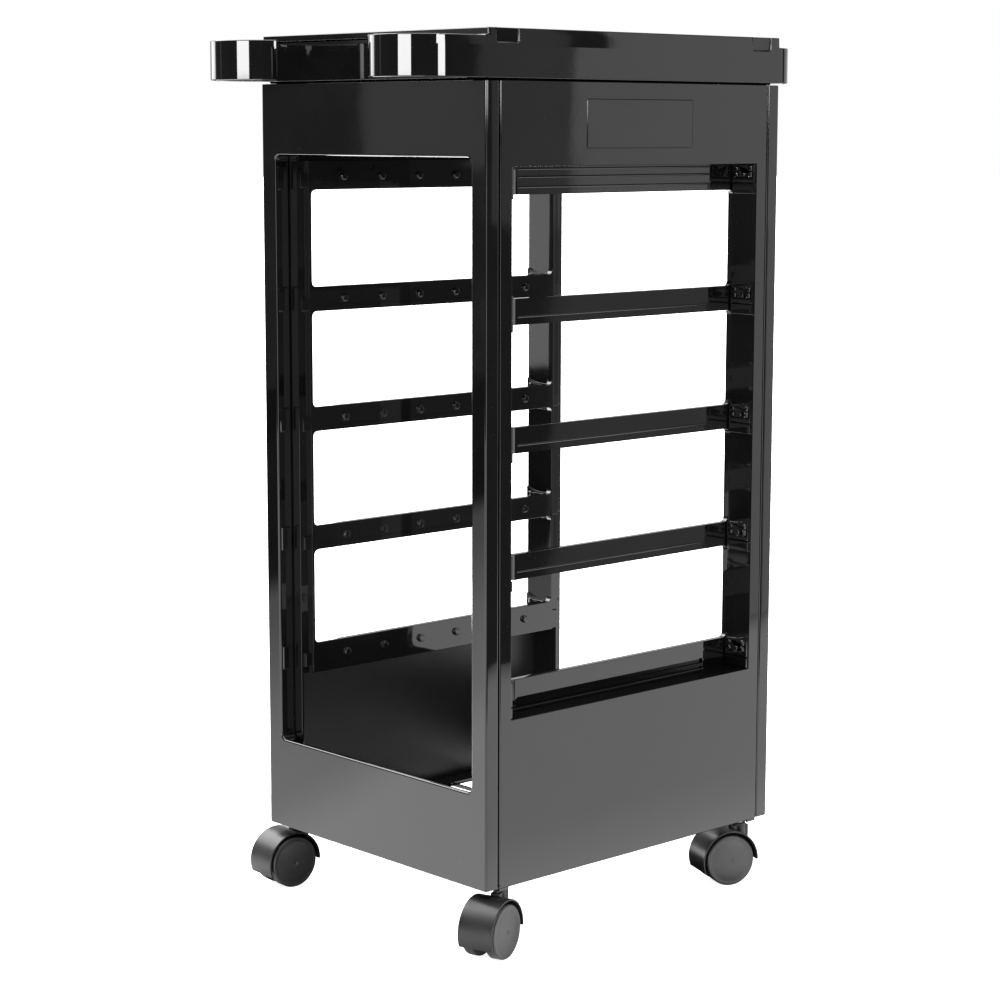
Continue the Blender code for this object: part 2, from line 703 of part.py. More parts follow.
def make_wheel(name, side, parent):
    """A moulded wheel with a crowned tread and a shallow dished face. side is -1 or 1 along Y."""
    width = WHEEL_OUTER - WHEEL_INNER
    bore = AXLE_R + GAP
    blind = width - 0.0030
    profile = [(0.0, width + 0.0008), (WHEEL_R * 0.45, width + 0.0005), (WHEEL_R * 0.80, width - 0.0004)]
    profile += arc_points((WHEEL_R - 0.0045, width - 0.0052), 0.0045, 72, 0, 3)
    profile += [(WHEEL_R, 0.0030), (WHEEL_R - 0.0012, 0.0), (bore, 0.0), (bore, blind), (0.0, blind)]
    wheel = turned(name, profile, satin(name), 24, closed=False)
    wheel.parent = parent
    wheel.location = (TRAIL, side * WHEEL_INNER, WHEEL_R)
    wheel.rotation_euler = (-side * pi / 2, 0, 0)
    return wheel


def make_castor(corner, heading):
    sx = 1 if corner.endswith("right") else -1
    sy = 1 if corner.startswith("back") else -1
    place = (sx * PIVOT_X, sy * PIVOT_Y, 0)
    pivot = empty_at("swivel_axis_" + corner, place, radians(heading), CABINET)
    make_socket("castor_socket_" + corner, place)
    make_stem("castor_stem_" + corner, pivot)
    make_hood("castor_hood_" + corner, pivot)
    make_axle("castor_axle_" + corner, pivot)
    make_wheel("castor_wheel_" + corner + "_r", 1, pivot)
    make_wheel("castor_wheel_" + corner + "_l", -1, pivot)


# ---------------------------------------------------------------- screws

def make_screw(name, place, head_z, tip_z):
    """A pan-head screw. The head is on the side away from the tip."""
    sign = 1 if tip_z < head_z else -1
    bm = bmesh.new()
    add_rod(bm, (0, 0, 0), "Z", SCREW_HEAD_R, min(0.0, sign * SCREW_HEAD_H),
            max(0.0, sign * SCREW_HEAD_H), 12)
    rim = [e for e in bm.edges if all(abs(v.co.z - sign * SCREW_HEAD_H) < 1e-9 for v in e.verts)]
    bmesh.ops.bevel(bm, geom=rim, offset=0.0007, segments=1, profile=0.5, affect="EDGES")
    screw = to_object(bm, name, PARTS, steel(name))
    screw.location = (place[0], place[1], head_z)
    shade_round(screw)

    shank = bmesh.new()
    ends = sorted((tip_z - head_z, sign * 0.0005))
    add_rod(shank, (0, 0, 0), "Z", SCREW_R, ends[0], ends[1], 8)
    add(screw, shank, name + "_shank")
    slot = bmesh.new()
    slot_z = sorted((sign * (SCREW_HEAD_H - 0.0009), sign * (SCREW_HEAD_H + 0.001)))
    add_box(slot, (-0.0019, -0.0004, slot_z[0]), (0.0019, 0.0004, slot_z[1]))
    cut(screw, slot, name + "_slot")
    return screw


def make_screws():
    for index, (sx, sy) in enumerate(mirror_pairs(), start=1):
        make_screw("tray_screw_%d" % index, (sx * TRAY_SCREW_X, sy * TRAY_SCREW_Y),
                   TRAY_FLOOR_TOP - TRAY_SCREW_SINK + GAP, BODY_TOP - 0.008)
        make_screw("base_side_screw_%d" % index, (sx * BASE_SCREW_SIDE[0], sy * BASE_SCREW_SIDE[1]),
                   BASE_BOTTOM - GAP, BASE_TOP + LUG_H - 0.001)
        make_screw("base_end_screw_%d" % index, (sx * BASE_SCREW_END[0], sy * BASE_SCREW_END[1]),
                   BASE_BOTTOM - GAP, BASE_TOP + LUG_H - 0.001)


clear_scene()
PARTS = new_collection("salon_trolley")
CUTTERS = new_collection("cutters")
CABINET = empty_at("cabinet_middle", (0, CABINET_Y, 0))

make_end_frame("front_frame", -1)
make_end_frame("back_frame", 1)
make_side_panel("left_side_panel", -1)
make_side_panel("right_side_panel", 1)
make_top_tray("top_tray")
make_base("base_frame")
for corner_name, castor_heading in CASTOR_HEADINGS.items():
    make_castor(corner_name, castor_heading)
make_screws()
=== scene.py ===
"""Looks for the rolling salon trolley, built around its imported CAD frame. Metres, +Z up."""

from math import atan2, cos, degrees, pi, radians, sin, sqrt, tan

import bmesh
import bpy
from mathutils import Matrix, Vector


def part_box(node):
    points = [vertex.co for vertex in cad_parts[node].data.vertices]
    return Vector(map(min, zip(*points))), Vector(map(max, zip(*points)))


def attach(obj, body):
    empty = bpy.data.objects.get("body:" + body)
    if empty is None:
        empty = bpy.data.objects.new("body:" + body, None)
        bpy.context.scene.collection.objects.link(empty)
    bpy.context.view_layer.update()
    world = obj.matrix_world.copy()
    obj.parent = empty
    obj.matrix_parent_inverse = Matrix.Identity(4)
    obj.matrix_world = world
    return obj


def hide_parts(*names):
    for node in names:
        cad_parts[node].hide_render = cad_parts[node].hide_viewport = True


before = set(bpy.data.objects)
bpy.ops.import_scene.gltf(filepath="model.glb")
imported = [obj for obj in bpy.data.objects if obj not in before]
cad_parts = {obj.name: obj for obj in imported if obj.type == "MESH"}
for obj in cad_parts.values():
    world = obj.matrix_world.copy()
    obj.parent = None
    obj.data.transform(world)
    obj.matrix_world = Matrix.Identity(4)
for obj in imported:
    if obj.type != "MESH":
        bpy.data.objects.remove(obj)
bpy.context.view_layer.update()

# ---- sizes read from the frame ----
front_low, front_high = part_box("front_frame")
tray_low, tray_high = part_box("top_tray")
base_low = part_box("base_frame")[0]
back_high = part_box("back_frame")[1]

MIDDLE_Y = (front_low.y + back_high.y) / 2
HALF_W = front_high.x
HALF_D = (back_high.y - front_low.y) / 2
FRAME_DEPTH = front_high.y - front_low.y
BOTTOM = front_low.z
TOP = front_high.z
RIM_TOP = tray_high.z
GAP = 0.0003
SKIN = 0.0025
FRAME_BACK = HALF_D - FRAME_DEPTH
PANEL_HALF_D = FRAME_BACK - 0.0010
SIDES = (-1, 1)
QUARTERS = tuple((sx, sy) for sx in SIDES for sy in SIDES)

# ---- making of the meshes ----
EDGE = 0.0007           # small rounding on moulded edges
BEVEL_ANGLE = 30.0      # edges sharper than this are rounded
SMOOTH_ANGLE = 38.0     # edges sharper than this stay sharp in shading
OVERSHOOT = 0.004       # how far a solid reaches past what it cuts, or into what it joins
OVERLAP = 0.006         # how far the hollow of a column runs past its opening

# ---- end frames ----
OPENING_HALF_W = 0.142
OPENING_BOTTOM = 0.155
OPENING_TOP = 0.737
OPENING_R = 0.006
CORNER_R = 0.0022
LIP_R = 0.0022          # rounding of the opening's front edge
LIP_DEPTH = 0.0045
SILL_CUT = 0.002        # how far the sill is cut back behind its lip
TAB_PROUD = 0.0016
TAB_HALF_H = 0.0115
TAB_TOP_GAP = 0.022
TAB_Y = (0.0030, 0.0022)    # the tab's gaps to the frame's front and back
RIB_LEVELS = (0.2, 0.32, 0.44, 0.56, 0.68)
RIB_T = 0.0015
RIB_SETBACK = 0.004

# ---- side ladders ----
PANEL_IN = 0.1252
RAIL_OUT = 0.1319
RECESS_HALF_D = 0.164
RECESS_BOTTOM = 0.223
RECESS_TOP = 0.729
RAIL_TOP_1 = 0.2514
RAIL_STEP = 0.119
RAIL_COUNT = 5
RAIL_H = 0.0245
WINDOW_R = 0.005
RAIL_PAST = 0.003       # how far a cutter stands out in front of the rails
PAD_HALF_D = 0.131      # the rails' raised middle
GLIDE_R = 0.0038
GLIDE_PITCH = 0.0495
GLIDES_PER_RAIL = 6
GLIDE_PROUD = 0.0030
COLUMN_SETBACK = 0.0045
COLUMN_STEP_Y = 0.1668
POCKET_DEPTH = 0.0034
POCKET_R = 0.0030
STEP_SLANT = 50.0
BEAD_R = 0.0010
LINE_DEPTH = 0.0009
LINE_RISE = 0.0074      # the raised line above a rail's lower edge
TOP_RAIL_LINES = (0.7098, 0.7178, 0.7200)
TOP_RAIL_BEADS = (0.7098, 0.7189, 0.7262)
GROOVE_DEPTH = 0.0022
LOW_RAIL_GROOVES = ((0.2295, 0.2347), (0.2240, 0.2265))
INNER_LINE = (0.0052, 0.0062)   # heights above a rail's lower edge
INNER_LINE_DEPTH = 0.0008
INNER_LINE_HALF = 0.150
FOOT_Y = 0.1662
FOOT_DROP = 0.0028
LUG_Y = 0.1752
LUG_DROPS = (0.0235, 0.0105)    # below a rail's top
BRACKET_PROUD = 0.0028
BRACKET_X = (0.1334, 0.1613)
BRACKET_GAP = 0.0006
# the bracket's arched top: x, and height above the rail's top
BRACKET_ARCH = ((BRACKET_X[1], 0.0055), (0.1570, 0.0034), (0.1520, 0.0018), (0.1460, 0.0007),
                (BRACKET_X[0], 0.0002))
# knobs in each bracket: x, drop of the top below the rail's top, length, radius
KNOBS = (
    (0.1377, 0.0013, 0.0036, 0.0022),
    (0.1377, 0.0070, 0.0040, 0.0024),
    (0.1470, 0.0074, 0.0034, 0.0018),
    (0.1560, 0.0003, 0.0052, 0.0030),
    (0.1556, 0.0064, 0.0052, 0.0034),
)
PANEL_EDGE_R = 0.0013
LADDER_EDGE = 0.0005
MATT_FROM_X = 0.155     # the lower panel's inner side is matt beyond this
APRON_PLATE = (0.0705, 0.745, 0.7896)

# ---- tray ----
BAND_BOTTOM = tray_low.z + 0.0017
BAND_TOP = 0.8415
FRONT_STEP_TOP = 0.8445
FRONT_STEP = 0.0025
HOOK_TOP = 0.8440
HOOK_R = 0.046
HOOK_WALL = 0.0035
HOOK_Y = -0.233
HOOK_SWEEP = 163.0
TRAY_WALL = 0.003
TRAY_EDGE = 0.0010
TRAY_FOOT_INSET = 0.006
BASIN_R = 0.006
TRAY_FLOOR = 0.810
REAR_LEDGE = 0.031
REAR_R = 0.030
NOTCH_NEAR = 0.156
NOTCH_FAR = 0.1826
NOTCH_FLOOR = 0.838
NOTCH_DEPTH = 0.0022
NOTCH_LEAN = 0.0019
RIM_LINE = 0.8355       # where the band ends and the rim starts to lean in
RIM_LEAN = 0.0006
TRAY_SCREW = (0.150, 0.120)
SEAT_R = 0.0040
SEAT_DEPTH = 0.0024
SCREW_HOLE_R = 0.0019

# ---- base ----
BASE_TOP = 0.070
BASE_BORDER = 0.022
BASE_END_BORDER = 0.042
BASE_RIB = 0.0024
BASE_ROWS = 5
BASE_COLUMNS = 3
CELL_R = 0.002
BLOCK_TOP = 0.105
BLOCK_MARGIN = 0.0095
BASE_EDGE = 0.0004
BASE_SCREW_SIDE = (0.1535, 0.100)
BASE_SCREW_END = (0.090, 0.187)

# ---- castors ----
PIVOT_X = 0.151
PIVOT_Y = 0.167
TRAIL = 0.0175
WHEEL_R = 0.026
WHEEL_INNER = 0.0042
WHEEL_OUTER = 0.0184
HOOD_R = 0.0308
HOOD_WALL = 0.0016
HOOD_HALF_W = 0.0182
WEB_HALF = 0.0039
NECK_R = 0.0065
NECK_TOP = 0.0605
AXLE_BORE = 0.0033
STEM_BORE = 0.0043
PIN_BORE = 0.0025
PIN_BORE_Z = (0.0357, 0.055)
STEM_BORE_LOW = 0.0537
HOOD_TILT = 10.0        # slope of the hood's lower edge, degrees
HOOD_CUT = 0.0065       # how far below the axle the hood ends
HOOD_EDGE = 0.0004
SOCKET_R = 0.0070
SOCKET_FLANGE_R = 0.0088
SOCKET_LOW = 0.0629
SOCKET_SEAT = 0.0657
CASTOR_HEADINGS = {
    "front_right": -72.0,
    "front_left": -94.0,
    "back_right": -112.0,
    "back_left": -108.0,
}


# ---------------------------------------------------------------- node helpers

def new_material(name, kind="ShaderNodeBsdfPrincipled"):
    material = bpy.data.materials.new(name)
    material.use_nodes = True
    nodes = material.node_tree.nodes
    nodes.clear()
    out = nodes.new("ShaderNodeOutputMaterial")
    shader = nodes.new(kind)
    material.node_tree.links.new(shader.outputs[0], out.inputs["Surface"])
    return material, shader


def add_node(material, kind, **settings):
    node = material.node_tree.nodes.new(kind)
    for key, value in settings.items():
        if key in node.inputs:
            node.inputs[key].default_value = value
        else:
            setattr(node, key, value)
    return node


def link(material, source, target):
    material.node_tree.links.new(source, target)


def noise(material, coords, scale, detail=2.0, rough=0.5):
    node = add_node(material, "ShaderNodeTexNoise", Scale=scale, Detail=detail, Roughness=rough)
    link(material, coords.outputs["Object"], node.inputs["Vector"])
    return node.outputs["Fac"]


def ramp(material, source, low, high, to_low, to_high):
    limits = {"From Min": low, "From Max": high, "To Min": to_low, "To Max": to_high}
    node = add_node(material, "ShaderNodeMapRange", interpolation_type="SMOOTHSTEP", **limits)
    link(material, source, node.inputs["Value"])
    return node.outputs["Result"]


def colour_mix(material, factor, first, second):
    node = add_node(material, "ShaderNodeMix", data_type="RGBA")
    node.inputs["A"].default_value = first
    node.inputs["B"].default_value = second
    link(material, factor, node.inputs["Factor"])
    return node.outputs["Result"]


def bump(material, height, distance, normal=None):
    node = add_node(material, "ShaderNodeBump", Distance=distance, Strength=1.0)
    link(material, height, node.inputs["Height"])
    if normal is not None:
        link(material, normal, node.inputs["Normal"])
    return node.outputs["Normal"]


def add_values(material, first, second, operation="ADD"):
    node = add_node(material, "ShaderNodeMath", operation=operation)
    link(material, first, node.inputs[0])
    if isinstance(second, float):
        node.inputs[1].default_value = second
    else:
        link(material, second, node.inputs[1])
    return node.outputs["Value"]


DUST_COLOUR = (0.05, 0.05, 0.052, 1.0)
DUST_ROUGHNESS = 0.35       # added where dust lies
MATT_ROUGHNESS = 0.36       # added on faces tagged matt
CAVITY_SPECULAR = 0.12      # share of the highlights left on faces tagged cavity


def plastic(name, dark, light, rough_low, rough_high, wave, grain, grain_scale, specks, specular=0.5):
    """Moulded plastic: slow waviness, fine grain, faint handling haze and a few dust specks."""
    material, shader = new_material(name)
    coords = add_node(material, "ShaderNodeTexCoord")
    haze = noise(material, coords, 9.0, 4.0, 0.6)
    shader.inputs["IOR"].default_value = 1.54
    dust = noise(material, coords, 900.0, 1.0)
    dust_mask = ramp(material, dust, specks, specks + 0.04, 0.0, 1.0)
    blotch = ramp(material, haze, 0.35, 0.70, 0.0, 1.0)
    plain = colour_mix(material, blotch, dark, light)
    node = add_node(material, "ShaderNodeMix", data_type="RGBA")
    node.inputs["B"].default_value = DUST_COLOUR
    link(material, plain, node.inputs["A"])
    link(material, dust_mask, node.inputs["Factor"])
    link(material, node.outputs["Result"], shader.inputs["Base Color"])
    rough = ramp(material, haze, 0.30, 0.75, rough_low, rough_high)
    dusty = add_values(material, dust_mask, DUST_ROUGHNESS, "MULTIPLY")
    rough = add_values(material, rough, dusty)
    matt = add_node(material, "ShaderNodeAttribute", attribute_name="matt")
    matt_part = add_values(material, matt.outputs["Fac"], MATT_ROUGHNESS, "MULTIPLY")
    link(material, add_values(material, rough, matt_part), shader.inputs["Roughness"])
    cavity = add_node(material, "ShaderNodeAttribute", attribute_name="cavity")
    shine = ramp(material, cavity.outputs["Fac"], 0.0, 1.0, specular, specular * CAVITY_SPECULAR)
    link(material, shine, shader.inputs["Specular IOR Level"])
    slow = noise(material, coords, 16.0, 1.0)
    first = bump(material, slow, wave)
    fine = noise(material, coords, grain_scale, 2.0)
    link(material, bump(material, fine, grain, first), shader.inputs["Normal"])
    return material


def metal(name):
    """Zinc-plated steel with fine turning marks and dull patches."""
    material, shader = new_material(name)
    coords = add_node(material, "ShaderNodeTexCoord")
    shader.inputs["Metallic"].default_value = 1.0
    patch = noise(material, coords, 180.0, 3.0)
    tint = colour_mix(material, patch, (0.42, 0.42, 0.44, 1.0), (0.62, 0.62, 0.63, 1.0))
    link(material, tint, shader.inputs["Base Color"])
    link(material, ramp(material, patch, 0.3, 0.7, 0.20, 0.38), shader.inputs["Roughness"])
    fine = noise(material, coords, 2600.0, 1.0)
    link(material, bump(material, fine, 0.00003), shader.inputs["Normal"])
    return material


GLOSS = plastic("gloss_black_abs", (0.0026, 0.0026, 0.0028, 1.0), (0.0042, 0.0042, 0.0044, 1.0),
                0.020, 0.050, 0.00006, 0.0000030, 130.0, 0.79)
HOOD = plastic("hood_nylon", (0.006, 0.006, 0.0065, 1.0), (0.013, 0.013, 0.0135, 1.0),
               0.26, 0.40, 0.00012, 0.00004, 420.0, 0.74, 0.28)
WHEEL = plastic("wheel_nylon", (0.016, 0.016, 0.017, 1.0), (0.026, 0.026, 0.027, 1.0),
                0.30, 0.44, 0.00010, 0.00004, 520.0, 0.75, 0.36)
STEEL = metal("zinc_steel")


# ---------------------------------------------------------------- mesh helpers

def to_mesh(name, bm):
    mesh = bpy.data.meshes.new(name)
    bm.to_mesh(mesh)
    bm.free()
    return mesh


def linked(name, data):
    obj = bpy.data.objects.new(name, data)
    bpy.context.scene.collection.objects.link(obj)
    return obj


def hand_in(obj, node, body):
    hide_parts(node)
    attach(obj, body)


def add_box(bm, low, high):
    low = Vector(low)
    high = Vector(high)
    size = high - low
    place = Matrix.Translation((low + high) / 2) @ Matrix.Diagonal((*size, 1.0))
    return bmesh.ops.create_cube(bm, size=1.0, matrix=place)["verts"]


def rounded_box(low, high, axis, width, segments=4, keep=None):
    """A box with the edges that run along one axis rounded, or only those that keep accepts."""
    bm = bmesh.new()
    add_box(bm, low, high)
    index = "XYZ".index(axis)
    edges = []
    for edge in bm.edges:
        step = edge.verts[1].co - edge.verts[0].co
        if abs(step[index]) > 0.999 * step.length:
            if keep is None or keep((edge.verts[0].co + edge.verts[1].co) / 2):
                edges.append(edge)
    bmesh.ops.bevel(bm, geom=edges, offset=width, segments=segments, profile=0.5, affect="EDGES")
    return bm


def boxes(*pairs):
    bm = bmesh.new()
    for low, high in pairs:
        add_box(bm, low, high)
    return bm


def joined(*parts):
    whole = bmesh.new()
    for part in parts:
        scratch = to_mesh("scratch", part)
        whole.from_mesh(scratch)
        bpy.data.meshes.remove(scratch)
    return whole


def add_rod(bm, centre, axis, radius, start, end, sides=48, chamfer=0.0):
    """Adds a cylinder along X, Y or Z, from start to end along that axis."""
    turn = {
        "X": Matrix.Rotation(pi / 2, 4, "Y"),
        "Y": Matrix.Rotation(-pi / 2, 4, "X"),
        "Z": Matrix.Identity(4),
    }[axis]
    direction = {"X": Vector((1, 0, 0)), "Y": Vector((0, 1, 0)), "Z": Vector((0, 0, 1))}[axis]
    middle = Vector(centre) + direction * (start + end) / 2
    made = bmesh.ops.create_cone(
        bm, cap_ends=True, segments=sides, radius1=radius, radius2=radius,
        depth=abs(end - start), matrix=Matrix.Translation(middle) @ turn,
    )["verts"]
    if chamfer > 0.0:
        index = "XYZ".index(axis)
        edges = dict.fromkeys(e for v in made for e in v.link_edges)     # in the same order every run
        rims = [e for e in edges if abs(e.verts[0].co[index] - e.verts[1].co[index]) < 1e-6]
        bmesh.ops.bevel(bm, geom=rims, offset=chamfer, segments=3, profile=0.5, affect="EDGES")


def rod(*values):
    bm = bmesh.new()
    add_rod(bm, *values)
    return bm


def prism(outline, bottom, top):
    bm = bmesh.new()
    lower = [bm.verts.new((p[0], p[1], bottom)) for p in outline]
    face = bm.faces.new(lower)
    made = bmesh.ops.extrude_face_region(bm, geom=[face])
    lifted = [v for v in made["geom"] if isinstance(v, bmesh.types.BMVert)]
    bmesh.ops.translate(bm, vec=(0, 0, top - bottom), verts=lifted)
    bmesh.ops.recalc_face_normals(bm, faces=bm.faces)
    return bm


def plain_object(name, bm):
    bmesh.ops.recalc_face_normals(bm, faces=bm.faces)
    return linked(name, to_mesh(name, bm))


def carve(name, start, steps, edge, segments=2, late=()):
    """Joins and cuts solids, rounds every edge, makes the late cuts and returns the finished mesh."""
    body = plain_object(name + "_start", start)
    helpers = []

    def add_step(operation, bm):
        helper = plain_object("%s_step_%d" % (name, len(helpers)), bm)
        helpers.append(helper)
        modifier = body.modifiers.new("step", "BOOLEAN")
        modifier.operation = operation
        modifier.solver = "EXACT"
        modifier.object = helper

    for operation, bm in steps:
        add_step(operation, bm)
    rounding = body.modifiers.new("edges", "BEVEL")
    rounding.width = edge
    rounding.segments = segments
    rounding.limit_method = "ANGLE"
    rounding.angle_limit = radians(BEVEL_ANGLE)
    rounding.use_clamp_overlap = False
    rounding.miter_outer = "MITER_ARC"
    for operation, bm in late:
        add_step(operation, bm)
    graph = bpy.context.evaluated_depsgraph_get()
    mesh = bpy.data.meshes.new_from_object(body.evaluated_get(graph))
    mesh.name = name
    for obj in [body] + helpers:
        bpy.data.objects.remove(obj)
    return mesh


def tag_faces(mesh, tag, test):
    """Marks the faces that pass the test with 1 in an attribute that the materials read."""
    values = [1.0 if test(face) else 0.0 for face in mesh.polygons]
    mesh.attributes.new(tag, "FLOAT", "FACE").data.foreach_set("value", values)


def place_mesh(name, mesh, material, matrix, mirror=False):
    """Makes the piece, with its place in its vertices."""
    mesh.transform(matrix)
    if mirror:
        mesh.flip_normals()
    mesh.materials.clear()
    mesh.materials.append(material)
    obj = linked(name, mesh)
    bevelled_normals(obj)
    return obj


def mark_rim_line(mesh):
    """Keeps the slight change of slope at the rim crisp."""
    sharp = mesh.attributes.get("sharp_edge") or mesh.attributes.new("sharp_edge", "BOOLEAN", "EDGE")
    for edge in mesh.edges:
        heights = [mesh.vertices[i].co.z for i in edge.vertices]
        if all(abs(h - RIM_LINE) < 0.00005 for h in heights):
            sharp.data[edge.index].value = True


def bevelled_normals(obj):
    """Keeps the large flats flat in shading, so that only the rounded edges bend the light."""
    obj.data.shade_smooth()
    obj.data.set_sharp_from_angle(angle=radians(SMOOTH_ANGLE))
    mark_rim_line(obj.data)
    modifier = obj.modifiers.new("normals", "WEIGHTED_NORMAL")
    modifier.keep_sharp = True
    modifier.weight = 100
    graph = bpy.context.evaluated_depsgraph_get()
    mesh = bpy.data.meshes.new_from_object(obj.evaluated_get(graph))
    old = obj.data
    obj.modifiers.clear()
    obj.data = mesh
    bpy.data.meshes.remove(old)


def centred(name, mesh, material, flip_x=False, flip_y=False):
    """Places a mesh that was built round the cabinet's middle."""
    scale = (-1.0 if flip_x else 1.0, -1.0 if flip_y else 1.0, 1.0, 1.0)
    matrix = Matrix.Translation((0, MIDDLE_Y, 0)) @ Matrix.Diagonal(scale)
    return place_mesh(name, mesh, material, matrix, flip_x != flip_y)


def rail_spans():
    spans = []
    for index in range(RAIL_COUNT):
        top = RAIL_TOP_1 + index * RAIL_STEP
        spans.append([top - RAIL_H, top])
    spans[0][0] = RECESS_BOTTOM
    spans[-1][1] = RECESS_TOP
    return spans


# ---------------------------------------------------------------- end frames

def rounded_rectangle(half_w, low, high, radius, steps=6):
    """Outline in X and Z, round at all four corners."""
    points = []
    corners = ((half_w, high, 0), (-half_w, high, 90), (-half_w, low, 180), (half_w, low, 270))
    for x, z, first in corners:
        centre_x = x - radius if x > 0 else x + radius
        centre_z = z - radius if z == high else z + radius
        points += arc_points((centre_x, centre_z), radius, first, first + 90, steps)
    return points


def opening_cutter(outer, past):
    """A tunnel for the opening that flares at the front, so that its edge comes out round."""
    rings = [(LIP_R, outer - OVERSHOOT), (LIP_R, outer)]
    for angle in (15, 30, 45, 60, 75, 90):
        turn = radians(angle)
        rings.append((LIP_R * (1 - sin(turn)), outer + LIP_R * (1 - cos(turn))))
    rings.append((0.0, past))
    bm = bmesh.new()
    loops = []
    for grow, y in rings:
        outline = rounded_rectangle(OPENING_HALF_W + grow, OPENING_BOTTOM - grow,
                                    OPENING_TOP + grow, OPENING_R + grow)
        loops.append([bm.verts.new((x, y, z)) for x, z in outline])
    count = len(loops[0])
    for first, second in zip(loops, loops[1:]):
        for index in range(count):
            after = (index + 1) % count
            bm.faces.new((first[index], first[after], second[after], second[index]))
    bm.faces.new(loops[0])
    bm.faces.new(loops[-1])
    return bm


def end_frame_mesh(name):
    """The front frame round the cabinet's middle: outer skin, reveal, hollow columns and tabs."""
    outer = -HALF_D
    inner = -FRAME_BACK
    start = rounded_box((-HALF_W, outer, BOTTOM), (HALF_W, inner, TOP), "Z", CORNER_R, 5)
    past = inner + OVERSHOOT
    skin_in = outer + SKIN
    collar = OPENING_HALF_W + SKIN
    wall = HALF_W - SKIN
    column_low = OPENING_BOTTOM - OVERLAP
    column_high = OPENING_TOP + OVERLAP
    cavity = boxes(
        ((-wall, skin_in, OPENING_TOP + SKIN), (wall, past, TOP - SKIN)),
        ((-wall, skin_in, BOTTOM - OVERSHOOT), (wall, past, OPENING_BOTTOM - SKIN)),
    )
    columns = boxes(
        ((-wall, skin_in, column_low), (-collar, past, column_high)),
        ((collar, skin_in, column_low), (wall, past, column_high)),
    )
    sill_half = OPENING_HALF_W - OPENING_R
    behind_lip = boxes(((-sill_half, outer + LIP_DEPTH, column_low),
                        (sill_half, past, OPENING_BOTTOM + SILL_CUT)))
    tabs = bmesh.new()
    ribs = bmesh.new()
    for sx in SIDES:
        x_pair = sorted((sx * (OPENING_HALF_W - TAB_PROUD), sx * (OPENING_HALF_W + SKIN / 2)))
        for low, high in rail_spans():
            middle = min((low + high) / 2, OPENING_TOP - TAB_TOP_GAP)
            add_box(tabs, (x_pair[0], outer + TAB_Y[0], middle - TAB_HALF_H),
                    (x_pair[1], inner - TAB_Y[1], middle + TAB_HALF_H))
        x_pair = sorted((sx * (collar - 0.001), sx * (wall + 0.001)))
        for level in RIB_LEVELS:
            add_box(ribs, (x_pair[0], outer + 0.001, level),
                    (x_pair[1], inner - RIB_SETBACK, level + RIB_T))
    return carve(name, start, [
        ("DIFFERENCE", cavity), ("DIFFERENCE", columns), ("DIFFERENCE", opening_cutter(outer, past)),
        ("DIFFERENCE", behind_lip), ("UNION", tabs), ("UNION", ribs),
    ], EDGE)


def make_end_frames():
    front = centred("front_end_moulding", end_frame_mesh("front_end"), GLOSS)
    back = centred("back_end_moulding", end_frame_mesh("back_end"), GLOSS, flip_y=True)
    hand_in(front, "front_frame", "cabinet")
    hand_in(back, "back_frame", "cabinet")


# ---------------------------------------------------------------- side ladders

def bracket_block(outline, wall):
    """A block from an outline in X and Z, between the two Y values of wall."""
    block = prism(outline, wall[0], wall[1])
    for vert in block.verts:
        vert.co = Vector((vert.co.x, vert.co.z, vert.co.y))
    bmesh.ops.recalc_face_normals(block, faces=block.faces)
    return block


def rail_brackets(spans):
    """The moulded ends of the rails on the recess walls: blocks, hollows and knobs."""
    blocks = []
    hollows = bmesh.new()
    knobs = bmesh.new()
    inner_x, outer_x = BRACKET_X
    face = RECESS_HALF_D - BRACKET_PROUD
    behind = RECESS_HALF_D + BRACKET_GAP
    for number, (low, high) in enumerate(spans):
        is_top = number == RAIL_COUNT - 1
        top = low + RAIL_H if is_top else high
        base = max(top - RAIL_H - 0.0030, RECESS_BOTTOM + BRACKET_GAP)
        outline = [(inner_x, base), (outer_x, base)]
        outline += [(x, top + rise) for x, rise in BRACKET_ARCH]
        if is_top:
            outline = [(x, min(z, RECESS_TOP - BRACKET_GAP)) for x, z in outline]
            outline = outline[:3] + outline[-1:]
        middle = top - 0.0125
        for sy in SIDES:
            wall = sorted((sy * face, sy * behind))
            lip = sorted((sy * (face - 0.0008), sy * behind))
            hollow = sorted((sy * (face - 0.002), sy * (RECESS_HALF_D - 0.0005)))
            blocks.append(bracket_block(outline, wall))
            add_box(hollows, (inner_x + 0.0012, hollow[0], middle),
                    (outer_x - 0.0012, hollow[1], top - 0.0012))
            add_box(hollows, (inner_x - 0.001, lip[0], middle - 0.0052),
                    (outer_x + 0.0002, lip[1], middle - 0.0040))
            for x, drop, length, radius in KNOBS:
                place = (x, sy * (RECESS_HALF_D - BRACKET_GAP), 0)
                add_rod(knobs, place, "Z", radius, top - drop - length, top - drop, 24, radius * 0.35)
    return joined(*blocks), hollows, knobs


def rail_pockets(spans):
    """Cutters for the set-back front ends of the rails, beyond a slanted step."""
    floor_x = RAIL_OUT - POCKET_DEPTH
    slant = tan(radians(STEP_SLANT))
    outline = [(RAIL_OUT + RAIL_PAST, PAD_HALF_D - RAIL_PAST * slant),
               (floor_x, PAD_HALF_D + POCKET_DEPTH * slant)]
    outline += arc_points((floor_x + POCKET_R, RECESS_HALF_D - 0.0055), POCKET_R, 180, 90, 4)
    outline.append((RAIL_OUT + RAIL_PAST, RECESS_HALF_D - 0.0022))
    pockets = []
    for number, (low, high) in enumerate(spans):
        below = low + 0.003 if number == 0 else low - 0.001
        above = high - 0.003 if number == RAIL_COUNT - 1 else high + 0.001
        pockets.append(prism([(x, -y) for x, y in outline], below, above))
    return joined(*pockets)


